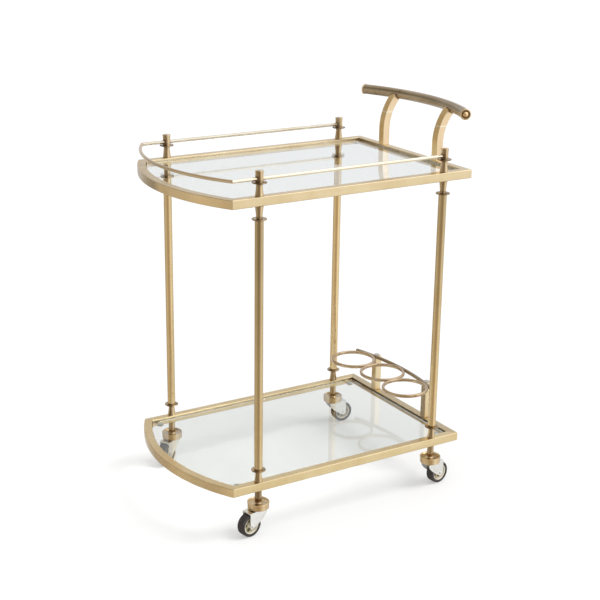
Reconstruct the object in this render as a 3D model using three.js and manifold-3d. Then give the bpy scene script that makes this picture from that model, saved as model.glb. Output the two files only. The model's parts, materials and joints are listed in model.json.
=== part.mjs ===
// Bar cart: two glazed trays on four turned posts, a gallery rail, a push handle, a bottle rack
// and four swivel casters. Millimetres, +Z up, +X towards the handle; the middle of the footprint
// is the origin and the wheels stand on z = 0.
import * as THREE from 'three';
import { mergeVertices } from 'three/addons/utils/BufferGeometryUtils.js';
import Module from 'manifold-3d';

const wasm = await Module();
wasm.setup();

// Driving dimensions
const SIDE_LENGTH = 652;          // straight side of a tray, bowed corner to handle end
const TRAY_DEPTH = 476;
const BOW_RISE = 66;              // how far the bowed end stands out from its corners
const TRAY_SPACING = 684;         // rail top to rail top
const RAIL = 21;                  // square tube of the trays
const RAIL_WALL = 1.5;             // wall of every square tube

const POST_DIAMETER = 20;
const POST_WALL = 1.5;
const BOW_END_POST_INSET = 72;    // tray corner to post axis
const HANDLE_END_POST_INSET = 77;
const FERRULE_LENGTH = 28.9;      // rail face to collar
const FERRULE_FLARE = 19.8;       // diameter against the rail
const FERRULE_NECK = 14.6;
const BEAD = 1.8;                 // flare of the neck under the collar
const COLLAR_DIAMETER = 34.5;
const COLLAR_THICKNESS = 3;
const SPIGOT_LENGTH = 14;
const STUD_DIAMETER = 8;
const STUD_ENGAGEMENT = 14;
const FINIAL_DIAMETER = 19.6;
const FINIAL_LENGTH = 25.2;       // collar to top
const FINIAL_FLARE = 0.7;
const FINIAL_HEAD = 4;            // height of the flare at the top
const GALLERY_DIAMETER = 8;
const GALLERY_HEIGHT = 6.8;       // above the collar
const GALLERY_BOW_RISE = 67;      // a fuller bow than the tray's

const GLASS_THICKNESS = 5;
const GLASS_RECESS = 5.5;         // rail top to glass top
const GLASS_MARGIN = 1.5;         // glass edge to rail
const TAB_THICKNESS = 2.5;
const PAD_THICKNESS = 2;
const TAB_NECK = 8;
const PAD_DIAMETER = 16;
const BOW_PAD = [16, 12];         // pad centre from the inner corners of the bowed end
const HANDLE_PAD = [18, 18];      // pad centre from the inner corners of the handle end

const HANDLE_DIAMETER = 25;
const HANDLE_WALL = 1.5;
const HANDLE_RADIUS = 495;        // plan radius of the grip
const HANDLE_HALF_LENGTH = 211;
const HANDLE_REACH = 40;          // tray end to the middle of the grip
const HANDLE_HEIGHT = 129;        // rail top to grip axis
const ARM_SPREAD = 113;           // centre line to arm
const ARM_TUBE = 20;              // square tube of the arms, flush with the rail's inner face
const ARM_BEND = 120;             // bend radius of the arms
const ARM_SEAT = 10.5;            // grip axis to the arm's end, which is coped to the grip
const CAP_FLANGE = 27;
const CAP_SPIGOT = 8;             // length inside the grip
const CAP_SLACK = 1;              // room for the straight spigot in the curved grip
const CAP_THICKNESS = 3.4;        // to the outer rim of the flange
const CAP_SINK = 1;               // depth of the sunk ring in the cap's face
const CAP_KNOB = 2.6;             // how far the domed middle stands out

const RACK_HEIGHT = 98;           // rail top to the shoulder of the legs
const RACK_LEG_SPREAD = 113;
const LEG_TUBE = 19;              // square tube of the legs
const LEG_DOME = 4;               // height of the domed cap
const LEG_DOME_MARGIN = 0.6;      // cap's edge inside the face of the leg
const LEG_PLUG = 4.5;             // solid top of the leg under the cap
const STRIP_WIDTH = 8;
const STRIP_HEIGHT = 7.4;
const STRIP_DROP = 2.2;           // shoulder of the legs to the strip's middle
const STRIP_RADIUS = 650;
const STRIP_HALF_LENGTH = 178;
const STRIP_LET_IN = 6;           // depth of the strip's notch in the legs
const RING_DIAMETER = 119;
const RING_BAR_WIDTH = 7;
const RING_BAR_HEIGHT = 8.4;
const RING_BAR_EDGE = 1.8;        // chamfer along the ring's edges
const RING_LIFT = 1.4;            // rings sit a little above the strip's middle

const STUB_LENGTH = 29.5;         // rail to cup rim
const STUB_DIAMETER = 16.6;
const CUP_DIAMETER = 52.4;
const CUP_HEIGHT = 16;
const CUP_LIP = 2;
const CUP_TAPER = 0.6;            // how much smaller the cup's foot is, in radius
const STUB_FILLET = 4;            // where the stub meets the cup
const CUP_DISH = 3;               // depth of the cup's sunk top
const RACE_HEIGHT = 1.5;          // gap between cup and crown
const RACE_DIAMETER = 44;
const KINGPIN_DIAMETER = 10;
const KINGPIN_HEAD = 16;
const KINGPIN_HEAD_HEIGHT = 4;
const CUP_FLOOR = 5;              // cup metal under the kingpin's head
const CROWN_THICKNESS = 3;
const CROWN_TO_TYRE = 3;
const CROWN_MARGIN = 2;           // crown behind the race
const CASTER_TRAIL = 28;
const FORK_PLATE = 2.4;
const FORK_SHOULDER = 16;         // fork plate behind the swivel axis
const FORK_BOSS = 7.5;            // radius of the fork's end about the axle
const FORK_MEET = 1.05;           // angle below the axle where the swept edge joins that end
const AXLE_DIAMETER = 7;
const AXLE_HEAD = 9.4;
const AXLE_HEAD_HEIGHT = 2.2;
const WHEEL_DIAMETER = 56;
const TYRE_WIDTH = 22;
const TYRE_THICKNESS = 7;
const TYRE_CROWN = 2.2;           // how far the tyre's shoulders fall away
const HUB_DIAMETER = 14;
const HUB_WIDTH = 23.2;
const RIM_WIDTH = 18;
const RIM_WALL = 2.6;
const WEB_THICKNESS = 4;
const WHEEL_WINDOWS = 5;
const WINDOW_DIAMETER = 9.6;
const CASTER_HEADINGS = {         // way each caster trails, in degrees about +Z
  front_left: 191,
  front_right: 9,
  back_right: -5,
  back_left: 208,
};

const CLEARANCE = 0.3;            // between pieces that touch

// Heights and places that follow
const CROWN_TOP = WHEEL_DIAMETER + CROWN_TO_TYRE + CROWN_THICKNESS;
const CUP_BOTTOM = CROWN_TOP + RACE_HEIGHT;
const CUP_TOP = CUP_BOTTOM + CUP_HEIGHT;
const LOWER_TRAY = CUP_TOP + STUB_LENGTH + RAIL;
const UPPER_TRAY = LOWER_TRAY + TRAY_SPACING;
const COLLAR_FACE = FERRULE_LENGTH + COLLAR_THICKNESS;
const POST_LENGTH = TRAY_SPACING - RAIL - 2 * COLLAR_FACE - 2 * CLEARANCE;
const POST_BORE = POST_DIAMETER - 2 * POST_WALL;
const BOW_RADIUS = ((TRAY_DEPTH / 2) ** 2 + BOW_RISE ** 2) / (2 * BOW_RISE);
const BOW_CENTRE = BOW_RADIUS - BOW_RISE;
const POST_LINE = (TRAY_DEPTH - RAIL) / 2;
const END_RAIL_LINE = SIDE_LENGTH - RAIL / 2;
const ARM_LINE = SIDE_LENGTH - RAIL + ARM_TUBE / 2;
const GALLERY_LINE = RAIL / 2;
const TAB_TOP = RAIL - GLASS_RECESS - GLASS_THICKNESS - PAD_THICKNESS - 2 * CLEARANCE;
const TURNED_SEGMENTS = 12;
const CUP_SEGMENTS = 16;
const WHEEL_SEGMENTS = 24;
const RING_SEGMENTS = 28;

const FINISHES = {
  brass: { color: 0xc8a36a, roughness: 0.38, metalness: 1 },
  dark_brass: { color: 0x9c8460, roughness: 0.45, metalness: 1 },
  chrome: { color: 0xd6d8da, roughness: 0.12, metalness: 1 },
  glass: { color: 0xe3ece9, roughness: 0.05, metalness: 0, transparent: true, opacity: 0.35 },
  rubber: { color: 0x3a3836, roughness: 0.85, metalness: 0 },
  pad: { color: 0x9a9c98, roughness: 0.7, metalness: 0 },
  rim: { color: 0xd9cfae, roughness: 0.5, metalness: 0.2 },
};

const cart = new THREE.Group();
const RIGHT_ANGLE = Math.PI / 2;

function addPiece(name, geometry, finish, place = [0, 0, 0], parent = cart) {
  const mesh = new THREE.Mesh(geometry, new THREE.MeshStandardMaterial(FINISHES[finish]));
  mesh.name = name;
  mesh.position.set(...place);
  parent.add(mesh);
  return mesh;
}

// Solids for cutting and joining
function toSolid(geometry) {
  const bare = geometry.index ? geometry.toNonIndexed() : geometry.clone();
  bare.deleteAttribute('normal');
  bare.deleteAttribute('uv');
  const merged = mergeVertices(bare, 1e-4);
  return new wasm.Manifold(new wasm.Mesh({
    numProp: 3,
    vertProperties: new Float32Array(merged.attributes.position.array),
    triVerts: new Uint32Array(merged.index.array),
  }));
}

function toGeometry(solid) {
  const mesh = solid.getMesh();
  const geometry = new THREE.BufferGeometry();
  geometry.setAttribute('position', new THREE.BufferAttribute(mesh.vertProperties, 3));
  geometry.setIndex(new THREE.BufferAttribute(mesh.triVerts, 1));
  const flat = geometry.toNonIndexed();
  flat.computeVertexNormals();
  return flat;
}

// Shapes
function turned(profile, segments = TURNED_SEGMENTS) {
  const points = profile.map(([radius, height]) => new THREE.Vector2(radius, height));
  return new THREE.LatheGeometry(points, segments).rotateX(RIGHT_ANGLE);
}

function disc(diameter, bottom, top, segments = TURNED_SEGMENTS) {
  return turned([[0, bottom], [diameter / 2, bottom], [diameter / 2, top], [0, top]], segments);
}

function plate(outline, bottom, thickness, curveSegments = 9) {
  const settings = { depth: thickness, bevelEnabled: false, curveSegments };
  return new THREE.ExtrudeGeometry(outline, settings).translate(0, 0, bottom);
}

function block(width, depth, height, place) {
  return new THREE.BoxGeometry(width, depth, height).translate(...place);
}

function rectangle(width, height) {
  const shape = new THREE.Shape();
  shape.moveTo(-width / 2, -height / 2);
  shape.lineTo(width / 2, -height / 2);
  shape.lineTo(width / 2, height / 2);
  shape.lineTo(-width / 2, height / 2);
  shape.closePath();
  return shape;
}

function circle(diameter) {
  return new THREE.Shape().absarc(0, 0, diameter / 2, 0, 2 * Math.PI, false);
}

function hollow(outer, inner) {
  outer.holes.push(inner);
  return outer;
}

function sweep(section, path, steps, curveSegments = 6) {
  const settings = { steps, extrudePath: path, bevelEnabled: false, curveSegments };
  return new THREE.ExtrudeGeometry(section, settings);
}

// An arc in plan, bowed towards +X, at one height
class PlanArc extends THREE.Curve {
  constructor(centreX, radius, halfLength, height) {
    super();
    Object.assign(this, { centreX, radius, height, halfAngle: Math.asin(halfLength / radius) });
  }

  getPoint(t) {
    const angle = (2 * t - 1) * this.halfAngle;
    const x = this.centreX + this.radius * Math.cos(angle);
    return new THREE.Vector3(x, this.radius * Math.sin(angle), this.height);
  }
}

// Tray outline, a given distance inside the tray's outer edge: three straight sides and the bow
function trayOutline(inset) {
  const half = TRAY_DEPTH / 2 - inset;
  const radius = BOW_RADIUS - inset;
  const angle = Math.asin(half / radius);
  const shape = new THREE.Shape();
  shape.moveTo(SIDE_LENGTH - inset, -half);
  shape.lineTo(SIDE_LENGTH - inset, half);
  shape.lineTo(bowCorner(inset), half);
  shape.absarc(BOW_CENTRE, 0, radius, Math.PI - angle, Math.PI + angle, false);
  return shape;
}

function bowCorner(inset) {
  return BOW_CENTRE - Math.sqrt((BOW_RADIUS - inset) ** 2 - (TRAY_DEPTH / 2 - inset) ** 2);
}

const CORNERS = [
  { name: 'front_left', side: -1, x: BOW_END_POST_INSET, bowed: true },
  { name: 'front_right', side: -1, x: SIDE_LENGTH - HANDLE_END_POST_INSET, bowed: false },
  { name: 'back_right', side: 1, x: SIDE_LENGTH - HANDLE_END_POST_INSET, bowed: false },
  { name: 'back_left', side: 1, x: BOW_END_POST_INSET, bowed: true },
];

function padPlace(corner) {
  const [along, across] = corner.bowed ? BOW_PAD : HANDLE_PAD;
  const x = corner.bowed ? bowCorner(RAIL) + along : SIDE_LENGTH - RAIL - along;
  return [x, corner.side * (TRAY_DEPTH / 2 - RAIL - across)];
}

// A small round tab on a neck, welded to the side rail, which carries one glass pad
function glassTab(corner) {
  const [x, y] = padPlace(corner);
  const bottom = TAB_TOP - TAB_THICKNESS;
  const wallLine = corner.side * (TRAY_DEPTH / 2 - RAIL + RAIL_WALL / 2);
  const neckPlace = [x, (wallLine + y) / 2, bottom + TAB_THICKNESS / 2];
  const neck = block(TAB_NECK, Math.abs(wallLine - y), TAB_THICKNESS, neckPlace);
  const seat = disc(PAD_DIAMETER, bottom, TAB_TOP).translate(x, y, 0);
  return toSolid(neck).add(toSolid(seat));
}

// Mitred square-tube frame, open inside, drilled where the studs of the posts pass
function trayFrame() {
  const outside = toSolid(plate(trayOutline(0), 0, RAIL));
  const opening = toSolid(plate(trayOutline(RAIL), -1, RAIL + 2));
  const coreOutline = hollow(trayOutline(RAIL_WALL), trayOutline(RAIL - RAIL_WALL));
  const core = toSolid(plate(coreOutline, RAIL_WALL, RAIL - 2 * RAIL_WALL));
  let frame = outside.subtract(opening).subtract(core);
  for (const corner of CORNERS) {
    const drill = disc(STUD_DIAMETER + 2 * CLEARANCE, -1, RAIL + 1);
    drill.translate(corner.x, corner.side * POST_LINE, 0);
    frame = frame.subtract(toSolid(drill)).add(glassTab(corner));
  }
  return toGeometry(frame);
}

function addTray(name, height) {
  const railBottom = height - RAIL;
  const glassBottom = height - GLASS_RECESS - GLASS_THICKNESS;
  const padBottom = glassBottom - CLEARANCE - PAD_THICKNESS;
  addPiece(`${name}_frame`, trayFrame(), 'brass', [0, 0, railBottom]);
  const glass = plate(trayOutline(RAIL + GLASS_MARGIN), 0, GLASS_THICKNESS);
  addPiece(`${name}_glass`, glass, 'glass', [0, 0, glassBottom]);
  for (const corner of CORNERS) {
    const pad = disc(PAD_DIAMETER - 1, 0, PAD_THICKNESS);
    addPiece(`${name}_pad_${corner.name}`, pad, 'pad', [...padPlace(corner), padBottom]);
  }
}

// Turned profiles, from the rail face outwards
function flareProfile() {
  const flare = FERRULE_FLARE / 2;
  const neck = FERRULE_NECK / 2;
  return [
    [flare, CLEARANCE],
    [neck, FERRULE_LENGTH - BEAD],
    [neck + BEAD, FERRULE_LENGTH],
  ];
}

function collarProfile() {
  const rim = COLLAR_DIAMETER / 2;
  return [
    [rim, FERRULE_LENGTH],
    [rim, COLLAR_FACE],
  ];
}

// Ferrule of a post: flared foot on the rail, collar, and a spigot in the tube
function ferrule() {
  const bore = STUD_DIAMETER / 2 + CLEARANCE;
  const spigot = POST_BORE / 2 - CLEARANCE;
  const boreEnd = STUD_ENGAGEMENT + 2 * CLEARANCE;
  return turned([
    [0, boreEnd],
    [bore, boreEnd],
    [bore, CLEARANCE],
    ...flareProfile(),
    ...collarProfile(),
    [spigot, COLLAR_FACE],
    [spigot, COLLAR_FACE + SPIGOT_LENGTH],
    [0, COLLAR_FACE + SPIGOT_LENGTH],
  ]);
}

// Finial over the top rail: its stud runs down through the rail into the ferrule below it
function finial(corner) {
  const top = COLLAR_FACE + FINIAL_LENGTH;
  const radius = FINIAL_DIAMETER / 2;
  const body = turned([
    [0, -RAIL - STUD_ENGAGEMENT],
    [STUD_DIAMETER / 2, -RAIL - STUD_ENGAGEMENT],
    [STUD_DIAMETER / 2, CLEARANCE],
    ...flareProfile(),
    ...collarProfile(),
    [radius - FINIAL_FLARE, COLLAR_FACE],
    [radius - FINIAL_FLARE, top - FINIAL_HEAD],
    [radius, top],
    [0, top],
  ]);
  const hole = galleryHole(corner);
  return toGeometry(toSolid(body).subtract(toSolid(hole)));
}

// The gallery rod runs through the finials at the bowed end and stops inside the other two
function galleryHole(corner) {
  const reach = FINIAL_DIAMETER;
  const end = corner.bowed ? reach : GALLERY_DIAMETER / 2 + CLEARANCE;
  const bore = disc(GALLERY_DIAMETER + 2 * CLEARANCE, -reach, end).rotateY(RIGHT_ANGLE);
  return bore.translate(0, 0, COLLAR_FACE + GALLERY_HEIGHT);
}

function addPost(corner) {
  const place = [corner.x, corner.side * POST_LINE];
  const lowerCollarTop = LOWER_TRAY + COLLAR_FACE;
  addPiece(`finial_${corner.name}`, finial(corner), 'brass', [...place, UPPER_TRAY]);
  const upper = ferrule().rotateX(Math.PI);
  addPiece(`upper_ferrule_${corner.name}`, upper, 'brass', [...place, UPPER_TRAY - RAIL]);
  const outer = POST_DIAMETER / 2;
  const inner = POST_BORE / 2;
  const tube = turned([
    [inner, 0],
    [outer, 0],
    [outer, POST_LENGTH],
    [inner, POST_LENGTH],
    [inner, 0],
  ]);
  addPiece(`post_${corner.name}`, tube, 'brass', [...place, lowerCollarTop + CLEARANCE]);
  addPiece(`lower_ferrule_${corner.name}`, ferrule(), 'brass', [...place, LOWER_TRAY]);
}

// Gallery: a round rod over the middle of the side rails, mitred at the two bowed corners
function galleryRail() {
  const height = UPPER_TRAY + COLLAR_FACE + GALLERY_HEIGHT;
  const cornerX = bowCorner(GALLERY_LINE);
  const radius = (POST_LINE ** 2 + GALLERY_BOW_RISE ** 2) / (2 * GALLERY_BOW_RISE);
  const centreX = cornerX - GALLERY_BOW_RISE + radius;
  const halfAngle = Math.asin(POST_LINE / radius);
  const overrun = 2 * GALLERY_DIAMETER;
  const bow = new PlanArc(-centreX, radius, POST_LINE + overrun, height);
  let rod = toSolid(sweep(circle(GALLERY_DIAMETER), bow, 20).rotateZ(Math.PI));
  const mitre = (Math.PI - (RIGHT_ANGLE - halfAngle)) / 2;
  for (const side of [-1, 1]) {
    const inward = new THREE.Vector2(Math.sin(mitre), side * Math.cos(mitre));
    rod = rod.intersect(toSolid(halfSpace(cornerX, side * POST_LINE, inward.clone().negate())));
  }
  for (const side of [-1, 1]) {
    const inward = new THREE.Vector2(Math.sin(mitre), side * Math.cos(mitre));
    const end = SIDE_LENGTH - HANDLE_END_POST_INSET;
    const start = cornerX - overrun;
    const straight = disc(GALLERY_DIAMETER, start, end).rotateY(RIGHT_ANGLE);
    straight.translate(0, side * POST_LINE, height);
    rod = rod.add(toSolid(straight).intersect(toSolid(halfSpace(cornerX, side * POST_LINE, inward))));
  }
  return toGeometry(rod);
}

// A block that fills the kept side of an upright plane through a point, and a hair beyond it
function halfSpace(x, y, kept) {
  const size = 4 * (SIDE_LENGTH + TRAY_DEPTH);
  const reach = size / 2 - CLEARANCE / 10;
  const box = new THREE.BoxGeometry(size, size, size).rotateZ(Math.atan2(kept.y, kept.x));
  return box.translate(x + kept.x * reach, y + kept.y * reach, 0);
}

// Push handle
const GRIP_CENTRE = SIDE_LENGTH + HANDLE_REACH - HANDLE_RADIUS;
const GRIP_HEIGHT = UPPER_TRAY + HANDLE_HEIGHT;

function gripPath(halfLength) {
  return new PlanArc(GRIP_CENTRE, HANDLE_RADIUS, halfLength, GRIP_HEIGHT);
}

function handleArm() {
  const gripX = GRIP_CENTRE + Math.sqrt(HANDLE_RADIUS ** 2 - ARM_SPREAD ** 2);
  const bend = Math.acos(1 - (gripX - ARM_LINE) / ARM_BEND);
  const bendStart = GRIP_HEIGHT - ARM_BEND * Math.sin(bend);
  const path = new ArmPath(UPPER_TRAY + CLEARANCE, bendStart, bend - ARM_SEAT / ARM_BEND);
  const bore = ARM_TUBE - 2 * RAIL_WALL;
  const section = hollow(rectangle(ARM_TUBE, ARM_TUBE), rectangle(bore, bore));
  return toSolid(sweep(section, path, 14));
}

// Straight up from the end rail, then an even bend out towards the grip
class ArmPath extends THREE.Curve {
  constructor(foot, bendStart, bend) {
    super();
    Object.assign(this, { foot, bendStart, bend });
  }

  getPoint(t) {
    const straight = this.bendStart - this.foot;
    const travelled = t * (straight + ARM_BEND * this.bend);
    if (travelled < straight) {
      return new THREE.Vector3(ARM_LINE, 0, this.foot + travelled);
    }
    const angle = (travelled - straight) / ARM_BEND;
    const x = ARM_LINE + ARM_BEND * (1 - Math.cos(angle));
    return new THREE.Vector3(x, 0, this.bendStart + ARM_BEND * Math.sin(angle));
  }
}

// Turned end cap: spigot, flange, sunk ring and a small domed knob
function gripCap() {
  const flange = CAP_FLANGE / 2;
  const spigot = HANDLE_DIAMETER / 2 - HANDLE_WALL - CAP_SLACK;
  const sunk = CAP_THICKNESS - CAP_SINK;
  const ring = 0.74 * flange;
  const knob = 0.45 * flange;
  return turned([
    [0, -CAP_SPIGOT],
    [spigot, -CAP_SPIGOT],
    [spigot, CLEARANCE],
    [flange, CLEARANCE],
    [flange, sunk],
    [flange - 1.2, CAP_THICKNESS],
    [ring, CAP_THICKNESS],
    [ring - 0.8, sunk],
    [knob + 0.8, sunk],
    [knob, CAP_THICKNESS],
    [knob / 2, CAP_THICKNESS + 0.6 * CAP_KNOB],
    [0, CAP_THICKNESS + CAP_KNOB],
  ], CUP_SEGMENTS);
}

function addHandle() {
  const path = gripPath(HANDLE_HALF_LENGTH);
  const section = hollow(circle(HANDLE_DIAMETER), circle(HANDLE_DIAMETER - 2 * HANDLE_WALL));
  addPiece('handle_bar', sweep(section, path, 12, 7), 'dark_brass');
  const seat = toSolid(sweep(circle(HANDLE_DIAMETER + 2 * CLEARANCE), path, 12, 7));
  const endAngle = Math.asin(HANDLE_HALF_LENGTH / HANDLE_RADIUS);
  for (const [name, side] of [['front', -1], ['back', 1]]) {
    const arm = handleArm().translate([0, side * ARM_SPREAD, 0]).subtract(seat);
    addPiece(`handle_arm_${name}`, toGeometry(arm), 'brass');
    const x = GRIP_CENTRE + HANDLE_RADIUS * Math.cos(endAngle);
    const cap = gripCap().rotateX(-side * RIGHT_ANGLE).rotateZ(side * endAngle);
    addPiece(`handle_cap_${name}`, cap, 'dark_brass', [x, side * HANDLE_HALF_LENGTH, GRIP_HEIGHT]);
  }
}

// Bottle rack: legs on the lower end rail, a bowed strip let into them, three rings along it
const STRIP_AT_LEGS = END_RAIL_LINE - LEG_TUBE / 2 + STRIP_LET_IN - STRIP_WIDTH / 2;
const STRIP_CENTRE = STRIP_AT_LEGS - Math.sqrt(STRIP_RADIUS ** 2 - RACK_LEG_SPREAD ** 2);
const STRIP_LEVEL = LOWER_TRAY + RACK_HEIGHT - STRIP_DROP;

function rackStrip(slack) {
  const path = new PlanArc(STRIP_CENTRE, STRIP_RADIUS, STRIP_HALF_LENGTH, STRIP_LEVEL);
  return sweep(rectangle(STRIP_HEIGHT + 2 * slack, STRIP_WIDTH + 2 * slack), path, 16);
}

function rackLeg(side) {
  const foot = LOWER_TRAY + CLEARANCE;
  const shoulder = LOWER_TRAY + RACK_HEIGHT;
  const bore = LEG_TUBE - 2 * RAIL_WALL;
  const y = side * RACK_LEG_SPREAD;
  const middle = (shoulder + foot) / 2;
  const dome = LEG_TUBE / 2 - LEG_DOME_MARGIN;
  const tube = toSolid(block(LEG_TUBE, LEG_TUBE, shoulder - foot, [END_RAIL_LINE, y, middle]));
  const core = toSolid(block(bore, bore, shoulder - foot, [END_RAIL_LINE, y, middle - LEG_PLUG]));
  const cap = toSolid(turned([
    [0, -LEG_PLUG / 2],
    [dome, -LEG_PLUG / 2],
    [dome, LEG_DOME / 4],
    [0.78 * dome, 0.75 * LEG_DOME],
    [0, LEG_DOME],
  ]).translate(END_RAIL_LINE, y, shoulder));
  return tube.subtract(core).add(cap).subtract(toSolid(rackStrip(CLEARANCE)));
}

function ringProfile() {
  const outer = RING_DIAMETER / 2;
  const inner = outer - RING_BAR_WIDTH;
  const half = RING_BAR_HEIGHT / 2;
  const edge = RING_BAR_EDGE;
  return [
    [inner, edge - half],
    [inner + edge, -half],
    [outer - edge, -half],
    [outer, edge - half],
    [outer, half - edge],
    [outer - edge, half],
    [inner + edge, half],
    [inner, half - edge],
    [inner, edge - half],
  ];
}

function addRack() {
  addPiece('rack_strip', rackStrip(0), 'brass');
  addPiece('rack_leg_front', toGeometry(rackLeg(-1)), 'brass');
  addPiece('rack_leg_back', toGeometry(rackLeg(1)), 'brass');
  const orbit = STRIP_RADIUS - STRIP_WIDTH / 2 - CLEARANCE - RING_DIAMETER / 2;
  const pitch = 2 * Math.asin((RING_DIAMETER + CLEARANCE) / 2 / orbit);
  for (const [name, index] of [['front', -1], ['middle', 0], ['back', 1]]) {
    const x = STRIP_CENTRE + orbit * Math.cos(index * pitch);
    const y = orbit * Math.sin(index * pitch);
    const ring = turned(ringProfile(), RING_SEGMENTS);
    addPiece(`rack_ring_${name}`, ring, 'brass', [x, y, STRIP_LEVEL + RING_LIFT]);
  }
}

// Caster cup with its stem: the stub fills the space below the rail, the stud goes up into the post
function casterCup() {
  const stud = STUD_DIAMETER / 2;
  const stub = STUB_DIAMETER / 2;
  const rim = CUP_DIAMETER / 2;
  const pin = KINGPIN_DIAMETER / 2 + CLEARANCE;
  const head = KINGPIN_HEAD / 2 + CLEARANCE;
  const railBottom = LOWER_TRAY - RAIL;
  const roof = CUP_BOTTOM + CUP_FLOOR + KINGPIN_HEAD_HEIGHT + 2 * CLEARANCE;
  return turned([
    [0, roof],
    [head, roof],
    [head, CUP_BOTTOM + CUP_FLOOR],
    [pin, CUP_BOTTOM + CUP_FLOOR],
    [pin, CUP_BOTTOM],
    [rim - CUP_TAPER, CUP_BOTTOM],
    [rim, CUP_TOP - CUP_DISH],
    [rim, CUP_TOP],
    [rim - CUP_LIP, CUP_TOP],
    [rim - CUP_LIP - CUP_DISH / 2, CUP_TOP - CUP_DISH],
    [stub + STUB_FILLET, CUP_TOP - CUP_DISH],
    [stub, CUP_TOP - CUP_DISH + STUB_FILLET],
    [stub, railBottom - CLEARANCE],
    [stud, railBottom - CLEARANCE],
    [stud, LOWER_TRAY + STUD_ENGAGEMENT],
    [0, LOWER_TRAY + STUD_ENGAGEMENT],
  ], CUP_SEGMENTS);
}

// Fork, in its own frame: swivel axis at x = 0, wheel trailing towards +x
const FORK_HALF = HUB_WIDTH / 2 + CLEARANCE + FORK_PLATE;

function forkCheek() {
  const crown = CROWN_TOP - CROWN_THICKNESS / 2;
  const axle = WHEEL_DIAMETER / 2;
  const front = CASTER_TRAIL + FORK_BOSS;
  const meet = Math.PI + FORK_MEET;
  const meetX = CASTER_TRAIL + FORK_BOSS * Math.cos(meet);
  const meetZ = axle + FORK_BOSS * Math.sin(meet);
  const shape = new THREE.Shape();
  shape.moveTo(-FORK_SHOULDER, crown);
  shape.quadraticCurveTo(-FORK_SHOULDER, (crown + axle) / 2, meetX, meetZ);
  shape.absarc(CASTER_TRAIL, axle, FORK_BOSS, meet, 2 * Math.PI, false);
  shape.lineTo(front, crown);
  shape.closePath();
  return shape;
}

function forkCrown() {
  const front = CASTER_TRAIL + FORK_BOSS;
  const back = Math.max(FORK_SHOULDER, RACE_DIAMETER / 2) + CROWN_MARGIN;
  const shape = new THREE.Shape();
  shape.moveTo(front, -FORK_HALF);
  shape.lineTo(front, FORK_HALF);
  shape.lineTo(-back + FORK_HALF / 2, FORK_HALF);
  shape.quadraticCurveTo(-back, FORK_HALF, -back, 0);
  shape.quadraticCurveTo(-back, -FORK_HALF, -back + FORK_HALF / 2, -FORK_HALF);
  shape.closePath();
  return shape;
}

function casterFork() {
  const crown = toSolid(plate(forkCrown(), CROWN_TOP - CROWN_THICKNESS, CROWN_THICKNESS, 4));
  const pin = KINGPIN_DIAMETER / 2;
  const head = KINGPIN_HEAD / 2;
  const headBottom = CUP_BOTTOM + CUP_FLOOR + CLEARANCE;
  const kingpin = toSolid(turned([
    [0, CROWN_TOP - CROWN_THICKNESS / 2],
    [RACE_DIAMETER / 2, CROWN_TOP - CROWN_THICKNESS / 2],
    [RACE_DIAMETER / 2, CUP_BOTTOM - CLEARANCE],
    [pin, CUP_BOTTOM - CLEARANCE],
    [pin, headBottom],
    [head, headBottom],
    [head, headBottom + KINGPIN_HEAD_HEIGHT],
    [0, headBottom + KINGPIN_HEAD_HEIGHT],
  ]));
  const cheek = plate(forkCheek(), 0, FORK_PLATE, 5).rotateX(RIGHT_ANGLE);
  const near = toSolid(cheek.clone().translate(0, FORK_HALF, 0));
  const far = toSolid(cheek.clone().translate(0, FORK_PLATE - FORK_HALF, 0));
  const drill = acrossWheel(disc(AXLE_DIAMETER + 2 * CLEARANCE, -FORK_HALF - 1, FORK_HALF + 1));
  return toGeometry(crown.add(kingpin).add(near).add(far).subtract(toSolid(drill)));
}

function acrossWheel(geometry) {
  return geometry.rotateX(RIGHT_ANGLE).translate(CASTER_TRAIL, 0, WHEEL_DIAMETER / 2);
}

function casterAxle() {
  const shaft = AXLE_DIAMETER / 2;
  const head = AXLE_HEAD / 2;
  const inner = FORK_HALF + CLEARANCE;
  const outer = inner + AXLE_HEAD_HEIGHT;
  return acrossWheel(turned([
    [0, -outer],
    [head, -outer],
    [head, -inner],
    [shaft, -inner],
    [shaft, inner],
    [head, inner],
    [head, outer],
    [0, outer],
  ]));
}

function wheelHub() {
  const bore = AXLE_DIAMETER / 2 + CLEARANCE;
  const hub = HUB_DIAMETER / 2;
  const rim = WHEEL_DIAMETER / 2 - TYRE_THICKNESS;
  const rimInner = rim - RIM_WALL;
  const body = toSolid(turned([
    [bore, -HUB_WIDTH / 2],
    [hub, -HUB_WIDTH / 2],
    [hub, -WEB_THICKNESS / 2],
    [rimInner, -WEB_THICKNESS / 2],
    [rimInner, -RIM_WIDTH / 2],
    [rim, -RIM_WIDTH / 2],
    [rim, RIM_WIDTH / 2],
    [rimInner, RIM_WIDTH / 2],
    [rimInner, WEB_THICKNESS / 2],
    [hub, WEB_THICKNESS / 2],
    [hub, HUB_WIDTH / 2],
    [bore, HUB_WIDTH / 2],
    [bore, -HUB_WIDTH / 2],
  ], WHEEL_SEGMENTS - 4));
  let wheel = body;
  for (let i = 0; i < WHEEL_WINDOWS; i += 1) {
    const angle = (i / WHEEL_WINDOWS) * 2 * Math.PI;
    const orbit = (hub + rimInner) / 2;
    const window = disc(WINDOW_DIAMETER, -WEB_THICKNESS, WEB_THICKNESS, 7);
    window.translate(orbit * Math.cos(angle), orbit * Math.sin(angle), 0);
    wheel = wheel.subtract(toSolid(window));
  }
  return acrossWheel(toGeometry(wheel));
}

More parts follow.
